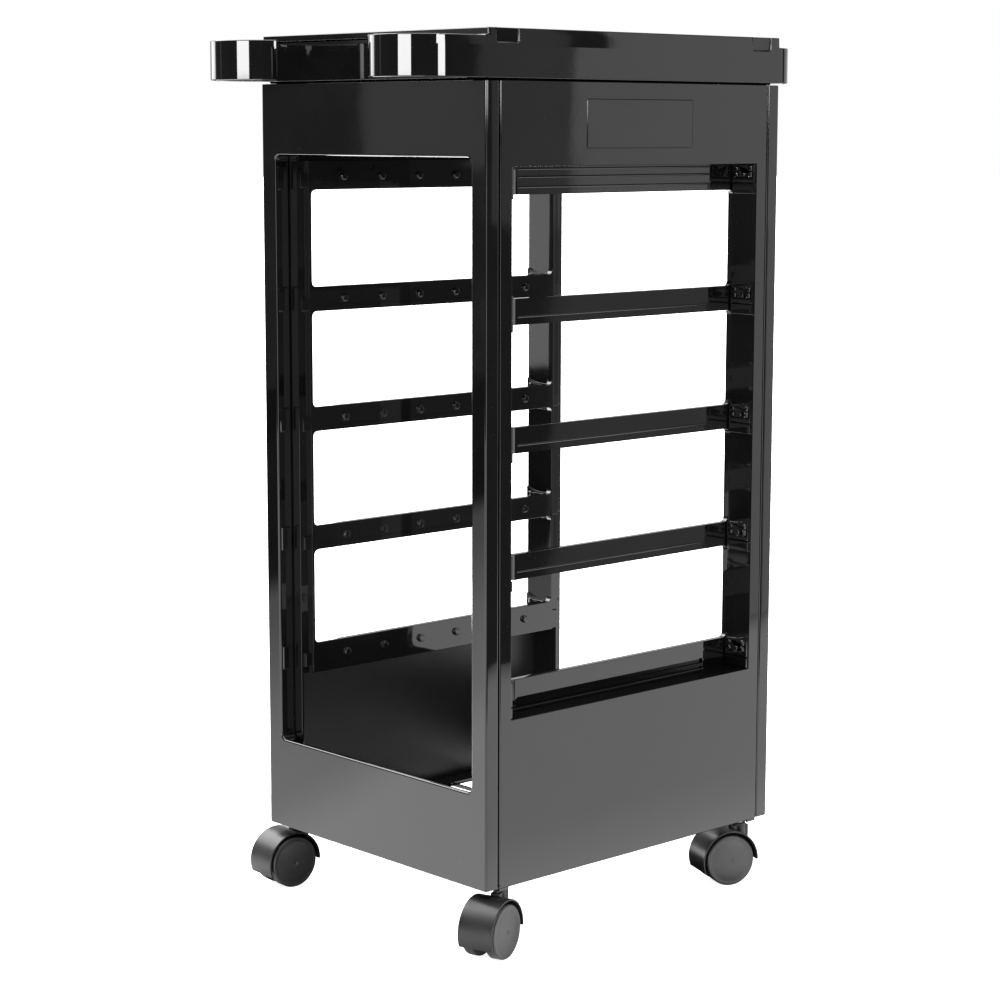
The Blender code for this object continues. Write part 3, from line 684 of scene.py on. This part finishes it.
def rail_relief(spans):
    """The cut lines and the raised beads along the rails' outer faces."""
    lines = bmesh.new()
    beads = bmesh.new()
    line_half = PAD_HALF_D - 0.0025

    def cut(depth, low, high):
        add_box(lines, (RAIL_OUT - depth, -line_half, low), (RAIL_OUT + RAIL_PAST, line_half, high))

    def bead(sink, level):
        add_rod(beads, (RAIL_OUT - sink, 0, level), "Y", BEAD_R, -line_half, line_half, 16)

    for low, _ in spans[1:-1]:
        cut(LINE_DEPTH, low - RAIL_PAST, low + LINE_RISE)
    cut(LINE_DEPTH, spans[-1][0] - RAIL_PAST, TOP_RAIL_LINES[0])
    cut(LINE_DEPTH, TOP_RAIL_LINES[1], TOP_RAIL_LINES[2])
    for low, high in LOW_RAIL_GROOVES:
        cut(GROOVE_DEPTH, low, high)
    for low, _ in spans[1:-1]:
        bead(0.0005, low + LINE_RISE)
    for level in TOP_RAIL_BEADS:
        bead(0.0004, level)
    return lines, beads


def side_ladder_mesh(name):
    """The right-hand ladder round the cabinet's middle."""
    inner_y = PANEL_HALF_D - SKIN
    skin_x = HALF_W - SKIN
    past_x = PANEL_IN - OVERSHOOT
    start = rounded_box((PANEL_IN, -PANEL_HALF_D, BOTTOM), (HALF_W, PANEL_HALF_D, TOP), "Z",
                        PANEL_EDGE_R, 4, lambda p: p.x > HALF_W - 0.001)
    cavity = boxes(
        ((past_x, -inner_y, BASE_TOP - 0.002), (skin_x, inner_y, RECESS_BOTTOM - SKIN)),
        ((past_x, -inner_y, RECESS_TOP + SKIN), (skin_x, inner_y, TOP - SKIN)),
    )
    under = boxes(((PANEL_IN - 0.005, -HALF_D, BOTTOM - OVERSHOOT), (skin_x, HALF_D, BASE_TOP + GAP)))
    columns = bmesh.new()
    setbacks = bmesh.new()
    feet = bmesh.new()
    pilots = bmesh.new()
    for sy in SIDES:
        pair = sorted((sy * (RECESS_HALF_D + SKIN), sy * inner_y))
        add_box(columns, (PANEL_IN + COLUMN_SETBACK + SKIN, pair[0], RECESS_BOTTOM - OVERLAP),
                (skin_x, pair[1], RECESS_TOP + OVERLAP))
        pair = sorted((sy * COLUMN_STEP_Y, sy * (PANEL_HALF_D + OVERSHOOT)))
        add_box(setbacks, (past_x, pair[0], BOTTOM - OVERSHOOT),
                (PANEL_IN + COLUMN_SETBACK, pair[1], TOP + OVERSHOOT))
        pair = sorted((sy * FOOT_Y, sy * (PANEL_HALF_D - 0.0002)))
        add_box(feet, (skin_x + 0.0002, pair[0], BOTTOM - FOOT_DROP),
                (HALF_W - 0.0002, pair[1], BOTTOM + 0.003))
        add_rod(pilots, (TRAY_SCREW[0], sy * TRAY_SCREW[1], 0), "Z", SCREW_HOLE_R,
                TOP - 0.006, TOP + OVERSHOOT, 16)
    recess = boxes(((RAIL_OUT, -RECESS_HALF_D, RECESS_BOTTOM),
                    (HALF_W + OVERSHOOT, RECESS_HALF_D, RECESS_TOP)))
    spans = rail_spans()
    panes = []
    for below, above in zip(spans, spans[1:]):
        panes.append(rounded_box((past_x, -RECESS_HALF_D, below[1]),
                                 (RAIL_OUT + OVERSHOOT, RECESS_HALF_D, above[0]), "X", WINDOW_R, 5))
    brackets, hollows, knobs = rail_brackets(spans)
    lines, beads = rail_relief(spans)

    # on the inner faces, a thin line along each rail and a row of round glides
    inner_lines = bmesh.new()
    for low, _ in spans[1:]:
        add_box(inner_lines, (PANEL_IN - 0.003, -INNER_LINE_HALF, low + INNER_LINE[0]),
                (PANEL_IN + INNER_LINE_DEPTH, INNER_LINE_HALF, low + INNER_LINE[1]))
    glides = bmesh.new()
    lugs = bmesh.new()
    first = -GLIDE_PITCH * (GLIDES_PER_RAIL - 1) / 2
    for low, high in spans:
        for index in range(GLIDES_PER_RAIL):
            add_rod(glides, (0, first + index * GLIDE_PITCH, (low + high) / 2), "X", GLIDE_R,
                    PANEL_IN - GLIDE_PROUD, PANEL_IN + 0.002, 24, 0.0011)
        for sy in SIDES:
            pair = sorted((sy * (COLUMN_STEP_Y - 0.001), sy * LUG_Y))
            add_box(lugs, (PANEL_IN + 0.0016, pair[0], high - LUG_DROPS[0]),
                    (PANEL_IN + 0.0060, pair[1], high - LUG_DROPS[1]))
    half, low, high = APRON_PLATE
    plate = rounded_box((HALF_W - SKIN / 2, -half, low), (HALF_W + 0.0005, half, high), "X", 0.0015, 3)
    mesh = carve(name, start, [
        ("DIFFERENCE", cavity), ("DIFFERENCE", under), ("DIFFERENCE", columns), ("DIFFERENCE", setbacks),
        ("DIFFERENCE", recess), ("DIFFERENCE", joined(*panes)), ("DIFFERENCE", rail_pockets(spans)),
        ("UNION", brackets), ("DIFFERENCE", hollows), ("UNION", knobs), ("UNION", glides),
        ("UNION", plate), ("UNION", feet), ("UNION", lugs), ("DIFFERENCE", pilots),
    ], LADDER_EDGE, late=[("DIFFERENCE", lines), ("DIFFERENCE", inner_lines), ("UNION", beads)])
    tag_faces(mesh, "matt", lambda face: face.normal.x < -0.9 and face.center.x > MATT_FROM_X
              and face.center.z < RECESS_BOTTOM)
    return mesh


def make_side_ladders():
    right = centred("right_ladder_moulding", side_ladder_mesh("right_ladder"), GLOSS)
    left = centred("left_ladder_moulding", side_ladder_mesh("left_ladder"), GLOSS, flip_x=True)
    hand_in(right, "right_side_panel", "cabinet")
    hand_in(left, "left_side_panel", "cabinet")


# ---------------------------------------------------------------- tray

def arc_points(centre, radius, start, end, count):
    points = []
    for index in range(count + 1):
        angle = radians(start + (end - start) * index / count)
        points.append((centre[0] + radius * cos(angle), centre[1] + radius * sin(angle)))
    return points


def hook_outline(sx):
    """A dryer hook from above: outer arc, round free end, inner arc and root."""
    inner_r = HOOK_R - HOOK_WALL
    rise = -HALF_D - HOOK_Y
    meets_band = degrees(atan2(rise, sqrt(inner_r * inner_r - rise * rise)))
    tip = radians(-HOOK_SWEEP)
    middle_r = HOOK_R - HOOK_WALL / 2
    tip_centre = (middle_r * cos(tip), middle_r * sin(tip))
    points = arc_points((0.0, 0.0), HOOK_R, 0.0, -HOOK_SWEEP, 64)
    points += arc_points(tip_centre, HOOK_WALL / 2, -HOOK_SWEEP - 22.5, -HOOK_SWEEP - 157.5, 6)
    points += arc_points((0.0, 0.0), inner_r, -HOOK_SWEEP, meets_band, 64)
    points.append((points[-1][0], rise + FRONT_STEP))
    points.append((HOOK_R, rise + FRONT_STEP))
    centre_x = HALF_W - HOOK_R
    return [(sx * (centre_x + x), HOOK_Y + y) for x, y in points]


def rear_outline(inset, steps):
    radius = REAR_R - inset
    x_mid = HALF_W - REAR_R
    y_mid = HALF_D + REAR_LEDGE - REAR_R
    points = []
    for sx, first in ((1, 0.0), (-1, pi / 2)):
        for index in range(steps + 1):
            angle = first + (pi / 2) * index / steps
            points.append((sx * x_mid + radius * cos(angle), y_mid + radius * sin(angle)))
    return points


def tray_notches():
    """Cutters for the four rim notches, each with its inner wall leaning outwards at the top."""
    notches = []
    for sx, sy in QUARTERS:
        x_pair = sorted((sx * (HALF_W - NOTCH_DEPTH), sx * (HALF_W + 0.003)))
        y_pair = sorted((sy * NOTCH_NEAR, sy * NOTCH_FAR))
        notch = bmesh.new()
        low = (x_pair[0], y_pair[0], NOTCH_FLOOR)
        for vert in add_box(notch, low, (x_pair[1], y_pair[1], RIM_TOP + OVERSHOOT)):
            if abs(vert.co.x) < HALF_W and vert.co.z > RIM_TOP:
                vert.co.x += sx * NOTCH_LEAN
        notches.append(notch)
    return joined(*notches)


def lean_rim(mesh):
    """Leans the long sides of the rim in a little, above the band."""
    bm = bmesh.new()
    bm.from_mesh(mesh)
    whole = list(bm.verts) + list(bm.edges) + list(bm.faces)
    bmesh.ops.bisect_plane(bm, geom=whole, plane_co=(0, 0, RIM_LINE), plane_no=(0, 0, 1))
    for vert in bm.verts:
        if vert.co.z > RIM_LINE and abs(vert.co.x) > HALF_W - 0.003:
            share = (vert.co.z - RIM_LINE) / (RIM_TOP - RIM_LINE)
            vert.co.x -= RIM_LEAN * share * (1 if vert.co.x > 0 else -1)
    bm.to_mesh(mesh)
    bm.free()


def tray_mesh(name):
    """The tray round the cabinet's middle: band, rim, basin, rear ledge and two dryer hooks."""
    front = -HALF_D
    outline = [(HALF_W, front)] + rear_outline(0.0, 16) + [(-HALF_W, front)]
    start = prism(outline, BAND_BOTTOM, FRONT_STEP_TOP)
    above_ledge = boxes(((-HALF_W - OVERSHOOT, HALF_D, BAND_TOP),
                         (HALF_W + OVERSHOOT, HALF_D + REAR_LEDGE + OVERSHOOT, RIM_TOP)))
    rim = boxes(((-HALF_W, front + FRONT_STEP, FRONT_STEP_TOP - OVERSHOOT), (HALF_W, HALF_D, RIM_TOP)))
    inset = TRAY_FOOT_INSET
    foot = boxes(((-HALF_W + inset, front + inset, TOP + GAP),
                  (HALF_W - inset, HALF_D - inset, BAND_BOTTOM + 0.001)))
    hooks = joined(*[prism(hook_outline(sx), BAND_BOTTOM, HOOK_TOP) for sx in SIDES])
    wall_x = HALF_W - TRAY_WALL
    basin = rounded_box((-wall_x, front + FRONT_STEP + TRAY_WALL, TRAY_FLOOR),
                        (wall_x, HALF_D - TRAY_WALL, RIM_TOP + 0.005), "Z", BASIN_R, 5)
    wall_y = HALF_D + TRAY_WALL
    ledge = [(wall_x, wall_y)]
    ledge += [p for p in rear_outline(TRAY_WALL, 16) if p[1] > wall_y]
    ledge += [(-wall_x, wall_y)]
    under = prism(ledge, BAND_BOTTOM - OVERSHOOT, BAND_TOP - TRAY_WALL)
    holes = bmesh.new()
    seats = bmesh.new()
    for sx, sy in QUARTERS:
        place = (sx * TRAY_SCREW[0], sy * TRAY_SCREW[1], 0)
        add_rod(holes, place, "Z", SCREW_HOLE_R, TOP - 0.003, TRAY_FLOOR + 0.003, 24)
        add_rod(seats, place, "Z", SEAT_R, TRAY_FLOOR - SEAT_DEPTH, TRAY_FLOOR + OVERSHOOT, 32)
    mesh = carve(name, start, [
        ("DIFFERENCE", above_ledge), ("UNION", rim), ("UNION", foot), ("UNION", hooks),
        ("DIFFERENCE", basin), ("DIFFERENCE", under), ("DIFFERENCE", tray_notches()),
        ("DIFFERENCE", holes), ("DIFFERENCE", seats),
    ], TRAY_EDGE, 3)
    lean_rim(mesh)
    return mesh


def make_tray():
    tray = centred("tray_moulding", tray_mesh("tray"), GLOSS)
    hand_in(tray, "top_tray", "cabinet")


# ---------------------------------------------------------------- base

def base_mesh(name):
    """The grid floor round the cabinet's middle, with a block over each castor."""
    half_x = HALF_W - SKIN - GAP
    half_y = HALF_D - SKIN - GAP
    below = base_low.z - OVERSHOOT
    start = boxes(((-half_x, -half_y, base_low.z), (half_x, half_y, BASE_TOP)))
    cells = []
    grid_w = 2 * (half_x - BASE_BORDER)
    grid_d = 2 * (half_y - BASE_END_BORDER)
    rib = BASE_RIB / 2
    for column in range(BASE_COLUMNS):
        x_low = -grid_w / 2 + column * grid_w / BASE_COLUMNS
        x_high = x_low + grid_w / BASE_COLUMNS
        for row in range(BASE_ROWS):
            y_low = -grid_d / 2 + row * grid_d / BASE_ROWS
            y_high = y_low + grid_d / BASE_ROWS
            cells.append(rounded_box((x_low + rib, y_low + rib, below),
                                     (x_high - rib, y_high - rib, BASE_TOP + OVERSHOOT), "Z", CELL_R, 3))
    blocks = bmesh.new()
    holes = bmesh.new()
    for sx, sy in QUARTERS:
        x_pair = sorted((sx * (PIVOT_X - BLOCK_MARGIN), sx * half_x))
        y_pair = sorted((sy * (PIVOT_Y - BLOCK_MARGIN), sy * (PANEL_HALF_D - SKIN - GAP)))
        add_box(blocks, (x_pair[0], y_pair[0], BASE_TOP - 0.002), (x_pair[1], y_pair[1], BLOCK_TOP))
        add_rod(holes, (sx * PIVOT_X, sy * PIVOT_Y, 0), "Z", SOCKET_R + GAP,
                below, BLOCK_TOP + OVERSHOOT, 32)
        for x, y in (BASE_SCREW_SIDE, BASE_SCREW_END):
            add_rod(holes, (sx * x, sy * y, 0), "Z", SCREW_HOLE_R, below, BASE_TOP + OVERSHOOT, 16)
    return carve(name, start, [
        ("DIFFERENCE", joined(*cells)), ("UNION", blocks), ("DIFFERENCE", holes),
    ], BASE_EDGE)


def make_base():
    base = centred("base_moulding", base_mesh("base"), GLOSS)
    hand_in(base, "base_frame", "cabinet")


# ---------------------------------------------------------------- castors

def turned_mesh(name, profile, steps):
    """Turns a profile of (radius, height) points round Z."""
    bm = bmesh.new()
    verts = [bm.verts.new((radius, 0.0, height)) for radius, height in profile]
    edges = [bm.edges.new(pair) for pair in zip(verts, verts[1:])]
    bmesh.ops.spin(bm, geom=verts + edges, cent=(0, 0, 0), axis=(0, 0, 1), angle=2 * pi,
                   steps=steps, use_merge=True, use_duplicate=False)
    bmesh.ops.remove_doubles(bm, verts=bm.verts, dist=0.00001)
    bmesh.ops.recalc_face_normals(bm, faces=bm.faces)
    return to_mesh(name, bm)


def wheel_profile():
    """One wheel from its face to its inner side: hub dimple, dished web, rolled rim, grooved tread."""
    width = WHEEL_OUTER - WHEEL_INNER
    rim_r = 0.0020
    shoulder_r = 0.0014
    groove_r = WHEEL_R - 0.00025
    points = [(0.0, width - 0.0002), (0.0013, width - 0.0002), (0.0018, width + 0.0003),
              (0.0042, width + 0.0006), (WHEEL_R * 0.45, width + 0.0004),
              (WHEEL_R * 0.72, width - 0.0002), (WHEEL_R * 0.80, width - 0.0006),
              (WHEEL_R * 0.835, width - 0.0006)]
    points += arc_points((WHEEL_R - rim_r, width - 0.0024), rim_r, 80, 0, 6)
    points += [(WHEEL_R, 0.0082), (groove_r, 0.0080), (groove_r, 0.0074), (WHEEL_R, 0.0072),
               (WHEEL_R, 0.0052)]
    points += arc_points((WHEEL_R - shoulder_r, 0.0040), shoulder_r, 0, -80, 4)
    points += [(0.0170, 0.0026), (0.0160, 0.0), (0.0150, 0.0020), (0.0080, 0.0020), (0.0072, 0.0),
               (AXLE_BORE, 0.0), (AXLE_BORE, width - 0.0030), (0.0, width - 0.0030)]
    return points


def inside_hood(face):
    """True for faces in the wells behind the wheels."""
    reach = sqrt((face.center.x - TRAIL) ** 2 + (face.center.z - WHEEL_R) ** 2)
    return abs(face.center.y) < HOOD_HALF_W - 0.0006 and reach < HOOD_R - 0.0010


def hood_mesh(name):
    """The shield over both wheels, round the swivel axis, with its wheels trailing towards +X."""
    centre = (TRAIL, 0, WHEEL_R)
    axis = (0, 0, 0)
    start = rod(centre, "Y", HOOD_R, -HOOD_HALF_W, HOOD_HALF_W, 96, 0.0007)
    neck = rod(axis, "Z", NECK_R, WHEEL_R + 0.0185, NECK_TOP, 48, 0.0005)
    shoulder = rounded_box((-0.0085, -0.0048, WHEEL_R + 0.016),
                           (0.0105, 0.0048, NECK_TOP - 0.0022), "Z", 0.0015, 3)
    wells = bmesh.new()
    for sy in SIDES:
        pair = sorted((sy * WEB_HALF, sy * (HOOD_HALF_W + OVERSHOOT)))
        add_rod(wells, centre, "Y", HOOD_R - HOOD_WALL, pair[0], pair[1], 96)
    below = boxes(((-0.060, -0.030, -0.060), (0.060, 0.030, 0.0)))
    tilt = Matrix.Rotation(radians(HOOD_TILT), 4, "Y")
    drop = Matrix.Translation((TRAIL, 0, WHEEL_R - HOOD_CUT))
    bmesh.ops.transform(below, matrix=drop @ tilt, verts=below.verts)
    axle = rod(centre, "Y", AXLE_BORE, -0.01, 0.01, 24)
    stem = rod(axis, "Z", STEM_BORE, STEM_BORE_LOW, NECK_TOP + OVERSHOOT, 32)
    pin = rod(axis, "Z", PIN_BORE, PIN_BORE_Z[0], PIN_BORE_Z[1], 24)
    mesh = carve(name, start, [
        ("UNION", neck), ("UNION", shoulder), ("DIFFERENCE", wells), ("DIFFERENCE", below),
        ("DIFFERENCE", axle), ("DIFFERENCE", stem), ("DIFFERENCE", pin),
    ], HOOD_EDGE)
    tag_faces(mesh, "cavity", inside_hood)
    return mesh


def socket_profile():
    """The sleeve that holds the stem, with its flange below the base."""
    flange = SOCKET_FLANGE_R
    top = BLOCK_TOP - 0.001
    return [(SOCKET_R, top), (SOCKET_R, SOCKET_SEAT), (flange - 0.0004, SOCKET_SEAT),
            (flange, SOCKET_SEAT - 0.0004), (flange, SOCKET_LOW + 0.0006), (flange - 0.0006, SOCKET_LOW),
            (STEM_BORE + 0.0004, SOCKET_LOW), (STEM_BORE, SOCKET_LOW + 0.0004), (STEM_BORE, top),
            (SOCKET_R, top)]


def make_castor(corner, heading):
    sx = 1 if corner.endswith("right") else -1
    sy = 1 if corner.startswith("back") else -1
    place = Matrix.Translation((sx * PIVOT_X, MIDDLE_Y + sy * PIVOT_Y, 0))
    turned = place @ Matrix.Rotation(radians(heading), 4, "Z")
    hood = place_mesh("hood_shell_" + corner, hood_mesh("hood"), HOOD, turned)
    hand_in(hood, "castor_hood_" + corner, "castor_" + corner)
    socket = place_mesh("socket_sleeve_" + corner, turned_mesh("socket", socket_profile(), 48), HOOD, place)
    hand_in(socket, "castor_socket_" + corner, "cabinet")
    for letter, side in (("r", 1), ("l", -1)):
        spot = turned @ Matrix.Translation((TRAIL, side * WHEEL_INNER, WHEEL_R))
        spot = spot @ Matrix.Rotation(-side * pi / 2, 4, "X")
        which = corner + "_" + letter
        wheel = place_mesh("wheel_tyre_" + which, turned_mesh("wheel", wheel_profile(), 72), WHEEL, spot)
        hand_in(wheel, "castor_wheel_" + which, "wheel_" + which)


def finish_small_nodes():
    """Stems, axles and screws keep their CAD shape and get the plated steel."""
    for name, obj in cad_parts.items():
        if "screw" in name or "stem" in name or "axle" in name:
            obj.data.materials.clear()
            obj.data.materials.append(STEEL)


# ---------------------------------------------------------------- stage and light

FLOOR_HALF = 30.0
# The lit floor patch changes along this direction, given by its X and Y.
# Each fade: from, to, strength at from, strength at to.
PATCH_DIRECTION = (-0.89, 0.45)
PATCH_SLOPE = (0.20, 0.72, 1.9, 0.8)
PATCH_END = (0.72, 0.84, 1.0, 0.0)
PATCH_NEAR = (0.08, 0.22, 0.8, 0.0)
PATCH_RIGHT_END = (0.98, 1.18, 1.0, 0.0)
PATCH_RIGHT_DIM = (0.20, 0.50, 1.0, 0.72)
PATCH_AREA = (-4, -4, 1.1, 3.6, -0.001)
LEFT_PATCH_AREA = (-1.7, -0.35, -0.5, 1.0, -0.0005)
LEFT_PATCH_STRENGTH = 9.0
FILL_ENERGY = 1.2
FILL_X = 0.02
FILL_Z = 0.27
CAMERA_AZIMUTH = 47.20
CAMERA_ELEVATION = 8.52
CAMERA_ROLL = 0.095
CAMERA_PLACE = (1.7910, -1.6865, 0.7624)     # Y from the cabinet's middle
CAMERA_LENS = 89.2


def glow_material(name, strength):
    material, glow = new_material(name, "ShaderNodeEmission")
    glow.inputs["Color"].default_value = (1.0, 1.0, 1.0, 1.0)
    glow.inputs["Strength"].default_value = strength
    return material, glow


def stage_face(name, area, material, camera=False, glossy=True, diffuse=True):
    """A level rectangle; area is its low X, low Y, high X, high Y and height."""
    x_low, y_low, x_high, y_high, z = area
    corners = [(x_low, y_low, z), (x_high, y_low, z), (x_high, y_high, z), (x_low, y_high, z)]
    bm = bmesh.new()
    bm.faces.new([bm.verts.new(p) for p in corners])
    mesh = to_mesh(name, bm)
    mesh.materials.append(material)
    obj = linked(name, mesh)
    obj.visible_camera = camera
    obj.visible_glossy = glossy
    obj.visible_diffuse = diffuse
    obj.visible_shadow = False


def make_floor():
    """A pale floor for the eye, and the lit patches that the gloss mirrors."""
    material, shader = new_material("pale_floor")
    coords = add_node(material, "ShaderNodeTexCoord")
    shader.inputs["Roughness"].default_value = 0.9
    shader.inputs["Emission Color"].default_value = (1.0, 1.0, 1.0, 1.0)
    shader.inputs["Emission Strength"].default_value = 0.90
    mottle = noise(material, coords, 3.0)
    tint = colour_mix(material, mottle, (0.80, 0.80, 0.80, 1.0), (0.84, 0.84, 0.84, 1.0))
    link(material, tint, shader.inputs["Base Color"])
    stage_face("floor", (-FLOOR_HALF, -FLOOR_HALF, FLOOR_HALF, FLOOR_HALF, 0),
               material, camera=True, glossy=False, diffuse=False)

    patch, glow = glow_material("floor_patch_glow", 0.0)
    coords = add_node(patch, "ShaderNodeTexCoord")
    parts = add_node(patch, "ShaderNodeSeparateXYZ")
    link(patch, coords.outputs["Object"], parts.inputs["Vector"])
    x, y = parts.outputs["X"], parts.outputs["Y"]
    x_part = add_values(patch, x, PATCH_DIRECTION[0], "MULTIPLY")
    y_part = add_values(patch, y, PATCH_DIRECTION[1], "MULTIPLY")
    across = add_values(patch, x_part, y_part)
    slope = ramp(patch, across, *PATCH_SLOPE)
    far_end = ramp(patch, across, *PATCH_END)
    near = ramp(patch, across, *PATCH_NEAR)
    strength = add_values(patch, add_values(patch, slope, far_end, "MULTIPLY"), near)
    for fade in (PATCH_RIGHT_END, PATCH_RIGHT_DIM):
        strength = add_values(patch, strength, ramp(patch, x, *fade), "MULTIPLY")

    # dark below the cabinet
    beside = add_values(patch, x, 0.0, "ABSOLUTE")
    before = add_values(patch, add_values(patch, y, -MIDDLE_Y), 0.0, "ABSOLUTE")
    clear_x = ramp(patch, beside, HALF_W - 0.02, HALF_W + 0.06, 0.0, 1.0)
    clear_y = ramp(patch, before, HALF_D - 0.02, HALF_D + 0.08, 0.0, 1.0)
    clear = add_values(patch, clear_x, clear_y, "MAXIMUM")
    link(patch, add_values(patch, strength, clear, "MULTIPLY"), glow.inputs["Strength"])
    stage_face("floor_patch", PATCH_AREA, patch)
    stage_face("left_floor_patch", LEFT_PATCH_AREA,
               glow_material("left_floor_glow", LEFT_PATCH_STRENGTH)[0])


# Light by direction: azimuth and elevation ranges in degrees, softness of their edges, radiance.
STUDIO = (
    (0.3, 29.5, 0.4, 9.0, 0.5, 20.0),        # tall softbox in front
    (89.5, 106.0, 0.4, 9.0, 0.5, 20.0),      # narrow softbox on the right
    (-95.0, -73.0, 0.4, 12.0, 2.5, 5.0),     # softbox on the left
    (-110.0, -50.0, 26.0, 62.0, 6.0, 8.0),   # high softbox on the left
    (134.5, 153.0, -2.2, 4.5, 0.12, 1.05),   # grey card behind on the right
    (135.5, 153.0, 4.5, 12.0, 0.12, 1.05),   # its upper part
    (138.1, 153.0, -15.0, -2.2, 0.12, 1.0),  # its lower part
    (134.0, 138.1, -15.0, -2.2, 0.12, 0.30), # shade beside its lower part
    (132.3, 134.5, -2.2, 12.0, 0.12, 0.33),  # shade beside its upper part
    (-47.0, -45.5, -26.0, -1.0, 0.2, 1.7),   # narrow low card in front on the left
    (-50.4, -46.8, -0.9, 6.0, 0.12, 0.38),   # grey card in front on the left
    (38.0, 60.0, -18.0, -0.5, 2.0, 3.0),     # low card in front on the right
    (165.0, 290.0, -30.0, 30.0, 4.0, 0.9),   # backdrop
)
DIM = 0.10              # radiance everywhere else
TOP_LIGHT = 4.0
TOP_RANGE = (45.0, 120.0, 10.0)     # elevations and softness of the light from above


def make_lights():
    """A white surround for the eye, and softboxes given by direction for everything else."""
    world = bpy.data.worlds.new("studio")
    bpy.context.scene.world = world
    world.use_nodes = True
    nodes = world.node_tree.nodes
    links = world.node_tree.links
    nodes.clear()

    def math(operation, first, second=0.0):
        node = nodes.new("ShaderNodeMath")
        node.operation = operation
        for socket, value in zip(node.inputs, (first, second)):
            if isinstance(value, (int, float)):
                socket.default_value = value
            else:
                links.new(value, socket)
        return node.outputs["Value"]

    def band(value, low, high, soft):
        """1 between low and high, falling smoothly to 0 over the given width on each side."""
        edges = []
        for start, end in ((low - soft, low + soft), (high + soft, high - soft)):
            node = nodes.new("ShaderNodeMapRange")
            node.interpolation_type = "SMOOTHSTEP"
            node.inputs["From Min"].default_value = start
            node.inputs["From Max"].default_value = end
            links.new(value, node.inputs["Value"])
            edges.append(node.outputs["Result"])
        return math("MULTIPLY", *edges)

    coords = nodes.new("ShaderNodeTexCoord")
    parts = nodes.new("ShaderNodeSeparateXYZ")
    links.new(coords.outputs["Generated"], parts.inputs["Vector"])
    x, y, z = (parts.outputs[axis] for axis in "XYZ")
    minus_y = math("MULTIPLY", y, -1.0)
    azimuth = math("MULTIPLY", math("ARCTAN2", x, minus_y), 180.0 / pi)
    minus_x = math("MULTIPLY", x, -1.0)
    turned = math("MULTIPLY", math("ARCTAN2", minus_x, y), 180.0 / pi)
    elevation = math("MULTIPLY", math("ARCSINE", z), 180.0 / pi)
    total = math("ADD", DIM, 0.0)
    for first, last, low, high, soft, radiance in STUDIO:
        if last > 180.0:
            across = band(turned, first - 180.0, last - 180.0, soft)
        else:
            across = band(azimuth, first, last, soft)
        lit = math("MULTIPLY", across, band(elevation, low, high, min(soft, 1.0)))
        total = math("ADD", total, math("MULTIPLY", lit, radiance))
    above = band(elevation, *TOP_RANGE)
    total = math("ADD", total, math("MULTIPLY", above, TOP_LIGHT))

    out = nodes.new("ShaderNodeOutputWorld")
    mixer = nodes.new("ShaderNodeMixShader")
    rays = nodes.new("ShaderNodeLightPath")
    lit = nodes.new("ShaderNodeBackground")
    links.new(total, lit.inputs["Strength"])
    white = nodes.new("ShaderNodeBackground")
    for node in (lit, white):
        node.inputs["Color"].default_value = (1.0, 1.0, 1.0, 1.0)
    links.new(rays.outputs["Is Camera Ray"], mixer.inputs["Fac"])
    links.new(lit.outputs["Background"], mixer.inputs[1])
    links.new(white.outputs["Background"], mixer.inputs[2])
    links.new(mixer.outputs["Shader"], out.inputs["Surface"])


def make_fill():
    """A weak lamp low inside the cabinet, without highlights of its own."""
    lamp = bpy.data.lights.new("inner_fill", "POINT")
    lamp.energy = FILL_ENERGY
    lamp.shadow_soft_size = 0.03
    obj = linked("inner_fill", lamp)
    obj.location = (FILL_X, MIDDLE_Y, FILL_Z)
    obj.visible_glossy = False
    obj.visible_camera = False


def make_camera():
    """The photo's camera, as solved from the trolley's straight edges."""
    azimuth, elevation, roll = radians(CAMERA_AZIMUTH), radians(CAMERA_ELEVATION), radians(CAMERA_ROLL)
    place = Vector((CAMERA_PLACE[0], MIDDLE_Y + CAMERA_PLACE[1], CAMERA_PLACE[2]))
    right = Vector((cos(azimuth), sin(azimuth), 0))
    up = Vector((-sin(azimuth) * sin(elevation), cos(azimuth) * sin(elevation), cos(elevation)))
    back = Vector((sin(azimuth) * cos(elevation), -cos(azimuth) * cos(elevation), sin(elevation)))
    turned_right = right * cos(roll) + up * sin(roll)
    turned_up = up * cos(roll) - right * sin(roll)
    data = bpy.data.cameras.new("view")
    data.lens = CAMERA_LENS
    data.sensor_width = 36.0
    camera = linked("view", data)
    basis = Matrix((turned_right, turned_up, back)).transposed().to_4x4()
    camera.matrix_world = Matrix.Translation(place) @ basis
    bpy.context.scene.camera = camera
    bpy.context.scene.view_settings.view_transform = "Standard"


make_end_frames()
make_side_ladders()
make_tray()
make_base()
for corner_name, castor_heading in CASTOR_HEADINGS.items():
    make_castor(corner_name, castor_heading)
finish_small_nodes()
make_floor()
make_lights()
make_fill()
make_camera()
